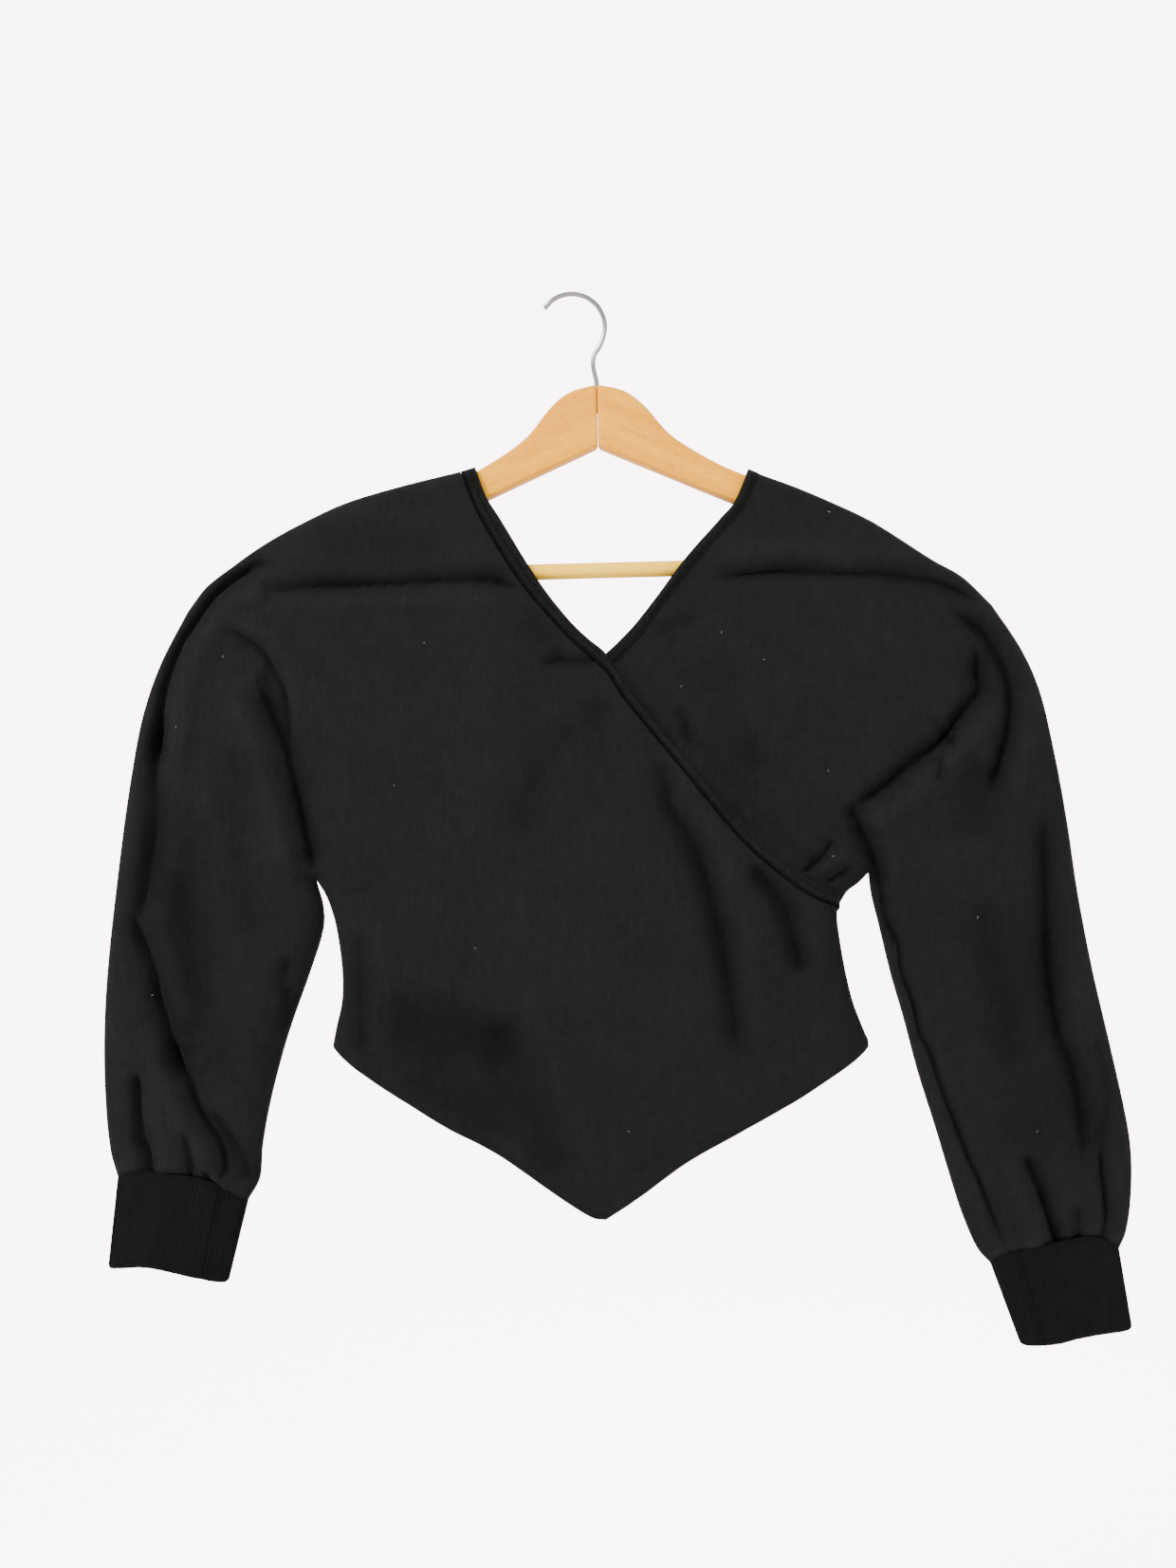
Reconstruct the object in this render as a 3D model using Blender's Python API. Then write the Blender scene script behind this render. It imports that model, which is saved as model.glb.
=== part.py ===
"""Wrap-front batwing sweater hanging on a wooden hanger with a trouser bar.

Metres, +Z up, the front faces -Y, +X is to the right seen from the front. The origin is at the top
of the hook's inner curve, where a rail carries it. The tables are in millimetres, as (x, z) places
on the plane between the front and the back; depths are measured out of that plane.
"""

import math

import bmesh
import bpy
import numpy as np

for old in list(bpy.data.objects):
    bpy.data.objects.remove(old, do_unlink=True)

MM = 0.001

# Cloth
WALL = 1.8  # sweatshirt knit
RIB_WALL = 2.4  # doubled rib of the cuffs and neckbands
SEAM_GAP = 0.3  # between two pieces at a seam
LAYER_GAP = 2.5  # between the two fronts where they cross
UNDERLAP = WALL + LAYER_GAP  # how far the hidden front lies inside the outer one
TUCK_START, TUCK_OVER = 9.5, 10.0  # clear of the neckband it comes forward, over this width
HEM_STEP = 3.0  # the hidden front's hem ends this much higher
BAND_PROUD, TUCKED_PROUD = 0.7, 0.3  # how far a neckband stands out of its panel, and a tucked one
BAND_FADE = 4.0  # over this distance from a closed edge
BAND_RUNS = (0.0, 0.25, 0.5, 0.75, 1.0)  # shares of a neckband's width where its net has a line
BAND_RIDGE = 0.6  # every second line is raised this much, as two ridges along the band

# Hanger
WIRE = 3.2
HOOK_RADIUS = 22.4
HOOK_TIP, HOOK_TURN = 145, -20  # degrees round the hook's centre, from the tip to where it bends in
ARM_THICK = 14.0
ARM_ROUND = 3.5
APEX = (16.8, -60.7)  # top of the wood, where the two arms meet
TILT = math.radians(1.5)  # the hanger hangs a little high on the right
BAR = 10.6
BAR_DROP = 124.2  # from the apex to the bar's axis
BAR_REACH = 200.0  # each end of the bar, from the middle
STEM_AT, STEM_TOP, STEM_FOOT = -0.1, 4.0, -20.0  # the hook's straight foot, from the apex
DRILL_GAP = 0.3

# Outline seen from the front, each list running from its first named point to its last
OUTER_L = [(-306, -594), (-311, -576), (-314, -546), (-315, -498), (-312, -446), (-304, -375),
           (-297, -325), (-289, -283), (-277, -248), (-259, -213)]
INNER_L = [(-218, -609), (-210, -594), (-208, -571), (-202, -539), (-191, -498), (-177, -458),
           (-168, -430), (-167, -413), (-172, -394)]
ARMHOLE_L = [(-259, -213), (-240, -232), (-221, -268), (-207, -310), (-198, -348), (-188, -376),
             (-172, -394)]
SHOULDER_L = [(-259, -213), (-246, -196), (-228, -182), (-208, -168), (-185, -155), (-153, -140),
              (-117, -129), (-81, -120), (-75, -118.5)]
OUTER_R = [(370, -643), (374, -631), (377, -607), (377, -578), (373, -550), (362, -501),
           (351, -454), (341, -402), (334, -355), (326, -311), (316, -268), (303, -238),
           (283, -208)]
INNER_R = [(286, -657), (274, -643), (263, -618), (254, -590), (245, -560), (233, -522),
           (224, -488), (215, -457), (207, -424), (202, -404), (200, -389)]
ARMHOLE_R = [(283, -208), (275, -243), (262, -284), (246, -322), (231, -352), (217, -375),
             (200, -389)]
SHOULDER_R = [(283, -208), (263, -189), (242, -177), (204, -153), (177, -140), (151, -129),
              (129, -121), (126, -119.5)]
SIDE_L = [(-172, -394), (-165, -406), (-159, -425), (-155, -453), (-155, -475), (-159, -494),
          (-161, -505)]
SIDE_R = [(200, -389), (192, -396), (184, -404), (179, -418), (183, -446), (189, -473),
          (196, -492), (200, -501)]
PUFF_R = [(194, -394.5), (185, -398.5), (176, -402), (172.5, -408)]  # the inner front's own side here
HEM_L = [(-161, -505), (-135, -525), (-88, -555), (-50, -575), (-20, -596), (11, -616), (23, -619)]
HEM_R = [(23, -619), (37, -610), (77, -581), (114, -560), (154, -537), (194, -509), (200, -501)]

# The outer front's neckband crosses from the left of the neck to the right side seam
OVER_CLOTH = [(-75, -118.5), (-66, -142), (-55, -163), (-33, -197), (-6, -228), (11, -244),
              (24, -256), (35, -273), (72, -318), (104, -357), (120, -374), (134, -386),
              (148, -397), (163, -406), (181, -413)]
OVER_FREE = [(-65, -115.5), (-57, -137), (-47, -153), (-23, -192), (-3, -218), (11, -232),
             (21, -240), (26, -247), (47, -276), (81, -318), (112, -352), (128, -369),
             (143, -383), (156, -391), (170, -399), (181, -405)]
# The inner front's neckband crosses the other way, behind the outer front
UNDER_CLOTH = [(126, -119.5), (116, -143), (106, -156), (83, -182), (63, -208), (48, -229),
               (35, -243), (17, -261), (-9, -290), (-41, -329), (-73, -361), (-106, -389),
               (-138, -410), (-157, -424)]
UNDER_FREE = [(119, -116.5), (109, -140), (99, -152), (76, -178), (56, -205), (41, -224),
              (29, -236), (12, -252), (-15, -281), (-47, -320), (-79, -352), (-111, -379),
              (-143, -400), (-160, -412)]
# The back neck: a plain V that lies behind the front one
BACK_CLOTH_L = [(-75, -118.5), (-66, -142), (-55, -163), (-33, -197), (-6, -229), (24, -263)]
BACK_FREE_L = [(-65, -115.5), (-57, -137), (-47, -154), (-25, -189), (1, -221), (24, -247)]
BACK_CLOTH_R = [(126, -119.5), (116, -143), (106, -156), (83, -184), (54, -225), (24, -263)]
BACK_FREE_R = [(119, -116.5), (109, -140), (99, -152), (76, -180), (48, -218), (24, -247)]

# Form of the cloth at each height: half its depth, and how far in from a closed edge it rounds
# z, half depth, rounding
BODY_FORM = [
    (-110, 11.2, 8),
    (-145, 11.4, 9.5),
    (-170, 11.8, 12),
    (-210, 12.6, 17),
    (-300, 14.0, 22),
    (-450, 14.5, 24),
    (-560, 13.5, 24),
    (-720, 12.0, 24),
]
CUFF_END_L = [(-312.5, -655), (-231.5, -664.5)]  # the cuff's open end, outer and inner side
CUFF_END_R = [(378, -696), (303, -707)]
CUFF_DEPTH = 11.0
CUFF_TAPER = 1.5  # thinner by this at its open end
CUFF_BLEND = 70.0  # over this length above a cuff the sleeve rounds to the cuff's oval

# Largest folds. A fold sinks by its depth along its run and lifts by its lip on one side
FADE_IN, FADE_OUT = 0.18, 0.12  # shares of the run over which it sets in and dies out
LIP_AT, LIP_WIDE = 1.7, 1.1  # the lip's place and width, in reaches
FOLD_EDGE = 10.0  # folds die out over this distance from a closed edge
DEEPER_WITHIN = 0.35  # the hidden front's folds sink this much further
# name, wall, reach, depth, lip, side of the lip (1 = left of the run), run
FOLDS = [
    ("outer sleeve left", "front", 8, 5.0, 2.5, -1,
     [(-192, -183), (-212, -182), (-236, -201), (-257, -226), (-272, -261), (-279, -296),
      (-281, -344), (-281, -373), (-287, -405), (-295, -425)]),
    ("long sleeve left", "front", 8, 5.0, 2.5, 1,
     [(-295, -425), (-283, -448), (-275, -480), (-267, -509), (-260, -533), (-242, -566),
      (-235, -578), (-235, -600)]),
    ("armpit left", "front", 8, 6.0, 3.0, -1,
     [(-209, -250), (-203, -277), (-191, -316), (-181, -356), (-172, -394)]),
    ("sleeve head left", "front", 10, -3.0, 0.0, 1,
     [(-238, -222), (-212, -236), (-200, -258), (-190, -304)]),
    ("below the bar left", "front", 8, 3.5, 2.0, 1,
     [(-207, -200), (-176, -195), (-150, -195), (-116, -198), (-73, -192), (-33, -200)]),
    ("gather inner left", "front", 8, 3.5, 1.5, 1, [(-232, -550), (-224, -574), (-219, -610)]),
    ("gather outer left", "front", 8, 3.5, 1.5, 1,
     [(-293, -523), (-293, -552), (-287, -572), (-283, -598)]),
    ("below the bar right", "front", 8, 3.0, 2.0, 1,
     [(85, -187), (113, -184), (143, -187), (199, -187), (233, -189), (264, -202), (278, -211)]),
    ("sleeve head right", "front", 8, 4.5, 2.5, 1,
     [(256, -211), (268, -219), (287, -243), (294, -275), (290, -306), (284, -328)]),
    ("armpit right", "front", 8, 6.5, 3.0, 1,
     [(271, -234), (275, -262), (256, -292), (223, -322), (191, -345)]),
    ("armpit tail right", "front", 8, 5.0, 2.0, 1, [(191, -345), (197, -361), (204, -384)]),
    ("long sleeve right", "front", 9, 4.5, 2.0, 1,
     [(318, -355), (321, -397), (326, -466), (337, -519), (346, -562), (342, -600)]),
    ("gather outer right", "front", 8, 4.0, 2.0, 1,
     [(359, -521), (358, -557), (357, -587), (361, -615), (358, -650)]),
    ("gather inner right", "front", 8, 3.5, 2.0, -1, [(307, -583), (314, -601), (328, -650)]),
    ("body right", "front", 14, 2.6, 1.5, 1,
     [(62, -312), (65, -344), (79, -368), (95, -419), (108, -479), (113, -514)]),
    ("side right", "front", 12, 2.2, 1.2, 1, [(122, -385), (135, -403), (154, -446)]),
    ("under the V", "front", 14, 1.6, 0.0, 1, [(14, -270), (-13, -304), (-40, -377)]),
    ("side left", "front", 10, 2.0, 1.0, 1, [(-142, -425), (-134, -480)]),
    ("hollow above the hem", "front", 26, 2.0, 0.0, 1, [(-105, -505), (-60, -515), (-15, -530)]),
    ("back armpit left", "back", 9, 5.0, 2.5, -1,
     [(-222, -240), (-203, -277), (-190, -320), (-172, -394)]),
    ("back sleeve left", "back", 9, 4.0, 2.0, 1,
     [(-274, -330), (-270, -400), (-262, -480), (-252, -560), (-250, -605)]),
    ("back armpit right", "back", 9, 5.0, 2.5, 1,
     [(262, -236), (250, -288), (224, -326), (200, -389)]),
    ("back sleeve right", "back", 9, 4.0, 2.0, -1,
     [(292, -330), (297, -400), (312, -500), (326, -590), (333, -650)]),
    ("back body left", "back", 13, 2.5, 1.5, 1, [(-60, -300), (-75, -380), (-80, -470), (-70, -560)]),
    ("back body right", "back", 13, 2.5, 1.5, -1, [(95, -290), (112, -370), (115, -460), (98, -560)]),
    ("back neck", "back", 12, 1.8, 0.0, 1, [(24, -275), (22, -330), (28, -400)]),
]

# Stations of the cloth's net along and across each block
SLEEVE_ALONG, ACROSS = 19, 15
BODY_HALF, BELOW = 12, 10
BACK_SLEEVE_ALONG, BACK_ACROSS = 13, 12
BACK_BODY, BACK_BELOW = 10, 9
CUFF_ROUND, CUFF_RINGS = 32, 4
CROWD, BACK_CROWD = 1.35, 1.1  # how much a neck edge draws its stations up to the shoulder
SAME_PLACE = 0.02  # two nets share a point when it is this close
ON_SEAM = 0.2  # a point this near a closed edge lies on it
SHARP = math.radians(40)  # edges over this angle are shaded as edges

# The wooden arm's outline, from the middle to the end, measured from the apex
ARM_TOP = [(0, 0), (18.3, -4.8), (32, -15.4), (46, -32.3), (60.2, -43.5), (82, -56.3),
           (100.5, -64.5), (134, -79.5), (185, -105.5), (207, -121), (216, -128.5)]
ARM_END = [(220, -134.5), (218.5, -140.5), (212, -143)]
ARM_UNDER = [(200, -136.5), (184, -124.5), (160, -111.9), (80, -76.6), (0, -41.3)]


def smooth(share):
    """A soft step from 0 to 1."""
    t = np.clip(share, 0.0, 1.0)
    return t * t * (3.0 - 2.0 * t)


def through(points, steps=12):
    """A dense smooth line through the given points."""
    p = np.array(points, float)
    if len(p) == 2:
        return p
    ends = np.vstack([2 * p[0] - p[1], p, 2 * p[-1] - p[-2]])
    t = np.linspace(0, 1, steps, endpoint=False)[:, None]
    runs = [
        0.5 * (2 * b + (c - a) * t + (2 * a - 5 * b + 4 * c - d) * t**2
               + (3 * b - a - 3 * c + d) * t**3)
        for a, b, c, d in zip(ends, ends[1:], ends[2:], ends[3:])
    ]
    return np.vstack(runs + [p[-1:]])


def along(points, shares):
    """The places at these shares of the length of the smooth line through the points."""
    line = through(points)
    run = np.concatenate([[0], np.cumsum(np.linalg.norm(np.diff(line, axis=0), axis=1))])
    at = np.asarray(shares) * run[-1]
    return np.column_stack([np.interp(at, run, line[:, k]) for k in (0, 1)])


def beside(places, line):
    """Distance from each place to a dense line, the side (1 = left), and the share along it."""
    a, b = line[:-1], line[1:]
    step = b - a
    length = np.linalg.norm(step, axis=1)
    rel = places[:, None, :] - a[None]
    t = np.clip((rel * step).sum(2) / length**2, 0.0, 1.0)
    gap = rel - t[..., None] * step
    reach = np.linalg.norm(gap, axis=2)
    best = reach.argmin(axis=1)
    rows = np.arange(len(places))
    near = rel[rows, best]
    side = np.sign(step[best, 0] * near[:, 1] - step[best, 1] * near[:, 0])
    run = np.concatenate([[0], np.cumsum(length)])
    share = (run[best] + t[rows, best] * length[best]) / run[-1]
    return reach[rows, best], side, share


def spread(count, dense_start=True, dense_end=True):
    """Shares from 0 to 1, closer together at the chosen ends."""
    t = np.linspace(0, 1, count)
    if dense_start and dense_end:
        bent = 0.5 - 0.5 * np.cos(math.pi * t)
    elif dense_start:
        bent = 1 - np.cos(0.5 * math.pi * t)
    elif dense_end:
        bent = np.sin(0.5 * math.pi * t)
    else:
        bent = t
    return 0.9 * bent + 0.1 * t


def net(top, bottom, left, right, shares_along, shares_across, crowd=1.0):
    """A net of places between four border lines, first index along, second across.

    A crowd over 1 draws the right border's stations towards its start.
    """
    u = np.asarray(shares_along)[:, None, None]
    v = np.asarray(shares_across)[None, :, None]
    t = along(top, shares_along)[:, None]
    b = along(bottom, shares_along)[:, None]
    s = along(left, shares_across)[None]
    e = along(right, np.asarray(shares_across) ** crowd)[None]
    corners = ((1 - u) * (1 - v) * t[0] + u * (1 - v) * t[-1]
               + (1 - u) * v * b[0] + u * v * b[-1])
    return (1 - v) * t + v * b + (1 - u) * s + u * e - corners


def inset_line(points, amount):
    """The same line moved sideways along X."""
    return [(x + amount, z) for x, z in points]


def form_at(places):
    """Half depth and rounding of the cloth at each place."""
    z, depth, rounding = np.array(BODY_FORM, float)[::-1].T
    d = np.interp(places[:, 1], z, depth)
    w = np.interp(places[:, 1], z, rounding)
    for outer, inner in ((OUTER_L[0], INNER_L[0]), (OUTER_R[0], INNER_R[0])):
        half = 0.5 * math.dist(outer, inner)
        away = beside(places, np.array([outer, inner], float))[0]
        near = 1.0 - smooth(away / CUFF_BLEND)
        d += near * (CUFF_DEPTH - d)
        w += near * (half - w)
    return d, w


def relief(places, wall):
    """How far the folds move the cloth in (negative) or out."""
    moved = np.zeros(len(places))
    for _, fold_wall, reach, depth, lip, lip_side, run in FOLDS:
        if fold_wall != wall:
            continue
        away, side, share = beside(places, through(run))
        fade = smooth(share / FADE_IN) * smooth((1 - share) / FADE_OUT)
        across = away * side * lip_side / reach
        moved -= depth * fade * np.exp(-(across**2))
        moved += lip * fade * np.exp(-(((across - LIP_AT) / LIP_WIDE) ** 2))
    return moved


def no_inset(places):
    return np.zeros(len(places))


def hidden_behind_over(places):
    """How far in the inner front lies: fully behind the outer front, not at all clear of it."""
    away, side, _ = beside(places, through(OVER_FREE))
    return UNDERLAP * (1.0 - smooth((away * side - TUCK_START) / TUCK_OVER))


def skin_depth(places, wall, edge, inset):
    """How far a panel's outer face lies from the middle plane, this far from its closed edges."""
    depth, rounding = form_at(places)
    rise = np.clip(edge / (rounding - inset), 0.0, 1.0)
    folded = relief(places, wall) * smooth(edge / FOLD_EDGE)
    folded += DEEPER_WITHIN * np.minimum(folded, 0.0) * inset / UNDERLAP
    return SEAM_GAP / 2 + (depth - inset + folded) * np.sqrt(1.0 - (1.0 - rise) ** 2)


def merge(blocks):
    """One list of places, and quads, from nets that share their borders."""
    places = np.empty((0, 2))
    quads = []
    for block in blocks:
        ids = np.empty(block.shape[:2], int)
        shared = places.copy()
        for i, k in np.ndindex(*block.shape[:2]):
            known = len(shared) and np.abs(shared - block[i, k]).max(axis=1)
            if len(shared) and known.min() < SAME_PLACE:
                ids[i, k] = known.argmin()
            else:
                ids[i, k] = len(places)
                places = np.vstack([places, block[i, k]])
        made = [
            (ids[i, k], ids[i + 1, k], ids[i + 1, k + 1], ids[i, k + 1])
            for i, k in np.ndindex(block.shape[0] - 1, block.shape[1] - 1)
        ]
        a, b, c, d = (places[[q[n] for q in made]].T for n in range(4))
        turn = ((c - a)[0] * (d - b)[1] - (c - a)[1] * (d - b)[0]).sum()
        quads += [tuple(int(n) for n in (q if turn > 0 else q[::-1])) for q in made]
    return places, quads


def point_normals(points, quads):
    normals = np.zeros_like(points)
    for q in quads:
        a, b, c, d = points[list(q)]
        normal = np.cross(c - a, d - b)
        for i in q:
            normals[i] += normal
    return normals / np.linalg.norm(normals, axis=1)[:, None]


def add_object(name, points, faces, material):
    """A named object whose mesh is in place, in metres."""
    mesh = bpy.data.meshes.new(name)
    mesh.from_pydata([tuple(p * MM) for p in points], [], faces)
    mesh.materials.append(material)
    mesh.shade_smooth()
    mesh.set_sharp_from_angle(angle=SHARP)
    mesh.update()
    obj = bpy.data.objects.new(name, mesh)
    bpy.context.scene.collection.objects.link(obj)
    return obj


def cloth_wall(name, wall, places, quads, depth, edge, thickness, material, raised=0.0):
    """A closed wall of cloth: its outer face, the same face moved in, and the rim between them.

    What is raised stands on the outer face only, over a plain inside.
    """
    outward = -1.0 if wall == "front" else 1.0
    outer = np.column_stack([places[:, 0], outward * depth, places[:, 1]])
    quads = quads if wall == "front" else [q[::-1] for q in quads]
    normals = point_normals(outer, quads)
    normals[edge < ON_SEAM, 1] = 0.0
    normals /= np.linalg.norm(normals, axis=1)[:, None]
    points = np.vstack([outer, outer - normals * thickness])
    count = len(outer)
    points[:count, 1] += outward * raised
    faces = quads + [tuple(i + count for i in q[::-1]) for q in quads]
    sides = {side for q in quads for side in zip(q, q[1:] + q[:1])}
    faces += [(b, a, a + count, b + count) for a, b in sorted(sides) if (b, a) not in sides]
    return add_object(name, points, faces, material)


def edge_distance(places, seam_lines):
    return np.min([beside(places, through(line))[0] for line in seam_lines], axis=0)


def panel(name, wall, blocks, seam_lines, inset):
    """A panel of knit, from its net in front of or behind the middle plane."""
    places, quads = merge(blocks)
    edge = edge_distance(places, seam_lines)
    depth = skin_depth(places, wall, edge, inset(places))
    return cloth_wall(name, wall, places, quads, depth, edge, WALL, knit)


def band(name, wall, cloth_edge, free_edge, shares, seam_lines, inset, proud):
    """A rib neckband beyond a panel's edge, at the same stations as that edge."""
    cloth, free = along(cloth_edge, shares), along(free_edge, shares)
    width = np.linalg.norm(free - cloth, axis=1)[:, None]
    start = cloth + (free - cloth) * (SEAM_GAP / width)
    grid = np.stack([start + (free - start) * share for share in BAND_RUNS], axis=1)
    places, quads = merge([grid])
    edge = edge_distance(places, seam_lines)
    fade = smooth(edge / BAND_FADE)
    depth = skin_depth(places, wall, edge, inset(places)) + proud * fade
    ridge = BAND_RIDGE * (np.arange(len(places)) % len(BAND_RUNS) % 2)
    return cloth_wall(name, wall, places, quads, depth, edge, RIB_WALL, rib, ridge * fade)


def cuff(name, outer_top, inner_top, outer_end, inner_end):
    """A rib cuff: a flattened tube from the sleeve's end to its own open end."""
    top, end = np.array([outer_top, inner_top], float), np.array([outer_end, inner_end], float)
    down = (end - top).mean(axis=0)
    top += down / np.linalg.norm(down) * SEAM_GAP
    hand = math.copysign(1.0, inner_top[0] - outer_top[0])
    angles = np.linspace(0, 2 * math.pi, CUFF_ROUND, endpoint=False)
    shares = np.linspace(0, 1, CUFF_RINGS)
    rings = []  # down the outside, then back up the inside
    for share, inward in [(s, 0.0) for s in shares] + [(s, RIB_WALL) for s in shares[::-1]]:
        outer, inner = top + (end - top) * share
        half = (outer - inner) / 2
        half *= 1 - inward / np.linalg.norm(half)
        thick = CUFF_DEPTH - CUFF_TAPER * share - inward
        x, z = (outer + inner)[:, None] / 2 + half[:, None] * np.cos(angles)
        rings.append(np.column_stack([x, -hand * thick * np.sin(angles), z]))
    faces = []
    for ring in range(len(rings)):
        here, below = ring * CUFF_ROUND, (ring + 1) % len(rings) * CUFF_ROUND
        for k in range(CUFF_ROUND):
            beyond = (k + 1) % CUFF_ROUND
            faces.append((here + k, below + k, below + beyond, here + beyond))
    return add_object(name, np.vstack(rings), faces, rib)


def material(name, colour, roughness, metallic=0.0):
    made = bpy.data.materials.new(name)
    made.use_nodes = True
    shader = made.node_tree.nodes["Principled BSDF"]
    shader.inputs["Base Color"].default_value = (*colour, 1.0)
    shader.inputs["Roughness"].default_value = roughness
    shader.inputs["Metallic"].default_value = metallic
    return made


def hung(x, z):
    """A place on the hanger, given from its apex, in the part's frame with the hanger's tilt."""
    return (APEX[0] + x * math.cos(TILT) - z * math.sin(TILT),
            APEX[1] + x * math.sin(TILT) + z * math.cos(TILT))


def cutter(name, start, end, radius):
    """A hidden cylinder between two places on the middle plane, to drill with."""
    work = bmesh.new()
    bmesh.ops.create_cone(work, cap_ends=True, segments=16, radius1=radius * MM,
                          radius2=radius * MM, depth=math.dist(start, end) * MM)
    mesh = bpy.data.meshes.new(name)
    work.to_mesh(mesh)
    work.free()
    obj = bpy.data.objects.new(name, mesh)
    bpy.context.scene.collection.objects.link(obj)
    obj.location = ((start[0] + end[0]) / 2 * MM, 0, (start[1] + end[1]) / 2 * MM)
    obj.rotation_euler = (0, math.atan2(end[0] - start[0], end[1] - start[1]), 0)
    obj.hide_render = True
    obj.display_type = "WIRE"
    return obj


def wooden_arm(name, hand, wood, drills):
    """One half of the hanger, its outline extruded and its long edges rounded."""
    line = np.vstack([along(ARM_TOP, spread(22, False, False)), ARM_END, ARM_UNDER])
    line[0, 0] = line[-1, 0] = SEAM_GAP / 2
    outline = [hung(hand * x, z) for x, z in line]
    work = bmesh.new()
    ring = [work.verts.new((x * MM, -ARM_THICK / 2 * MM, z * MM)) for x, z in outline]
    face = work.faces.new(ring)
    pushed = bmesh.ops.extrude_face_region(work, geom=[face])["geom"]
    moved = [v for v in pushed if isinstance(v, bmesh.types.BMVert)]
    bmesh.ops.translate(work, verts=moved, vec=(0, ARM_THICK * MM, 0))
    bmesh.ops.recalc_face_normals(work, faces=work.faces)
    mesh = bpy.data.meshes.new(name)
    work.to_mesh(mesh)
    work.free()
    mesh.materials.append(wood)
    obj = bpy.data.objects.new(name, mesh)
    bpy.context.scene.collection.objects.link(obj)
    rounding = obj.modifiers.new("rounding", "BEVEL")
    rounding.width = ARM_ROUND * MM
    rounding.segments = 2
    rounding.limit_method = "ANGLE"
    rounding.angle_limit = math.radians(60)
    for drill in drills:
        hole = obj.modifiers.new(drill.name, "BOOLEAN")
        hole.operation = "DIFFERENCE"
        hole.object = drill
    return obj


def wire_hook(name, steel):
    """The hook, one bent wire whose foot is screwed into the wood."""
    centre = WIRE / 2 - HOOK_RADIUS
    arc = [
        (HOOK_RADIUS * math.cos(math.radians(a)), centre + HOOK_RADIUS * math.sin(math.radians(a)))
        for a in np.linspace(HOOK_TIP, HOOK_TURN, 26)
    ]
    bend = [arc[-1], (18.4, -34.6), (15.3, -39.6), (14.4, -44.5), (15.4, -52), hung(STEM_AT, STEM_TOP)]
    neck = along(bend, np.linspace(0, 1, 12))[1:]
    route = arc + [tuple(p) for p in neck] + [hung(STEM_AT, STEM_FOOT)]
    curve = bpy.data.curves.new(name, "CURVE")
    curve.dimensions = "3D"
    curve.bevel_depth = WIRE / 2 * MM
    curve.bevel_resolution = 2
    curve.use_fill_caps = True
    spline = curve.splines.new("POLY")
    spline.points.add(len(route) - 1)
    for point, (x, z) in zip(spline.points, route):
        point.co = (x * MM, 0, z * MM, 1)
    curve.materials.append(steel)
    obj = bpy.data.objects.new(name, curve)
    bpy.context.scene.collection.objects.link(obj)
    return obj


def trouser_bar(name, wood):
    """The round bar between the arms, its ends in drilled seats."""
    start, end = hung(-BAR_REACH, -BAR_DROP), hung(BAR_REACH, -BAR_DROP)
    obj = cutter(name, start, end, BAR / 2)
    obj.hide_render = False
    obj.display_type = "TEXTURED"
    obj.data.materials.append(wood)
    obj.data.shade_smooth()
    obj.data.set_sharp_from_angle(angle=SHARP)
    return obj


knit = material("black_knit", (0.013, 0.013, 0.012), 0.9)
rib = material("black_rib", (0.010, 0.010, 0.009), 0.92)
wood = material("pale_wood", (0.76, 0.52, 0.22), 0.5)
steel = material("bright_wire", (0.62, 0.62, 0.62), 0.28, 1.0)

# Where the outer front's rows and its halves meet, level with the armpits
OVER_CORNER = OVER_CLOTH[-1]
LEVEL_SHARE = (HEM_L[-1][0] - SIDE_L[0][0]) / (OVER_CORNER[0] - SIDE_L[0][0])


def between(a, b, share):
    return (a[0] + (b[0] - a[0]) * share, a[1] + (b[1] - a[1]) * share)


def side_below(line, top):
    """The part of a side line below a height, starting at the given place."""
    return [top] + [(x, z) for x, z in line if z < top[1] - 3]


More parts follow.
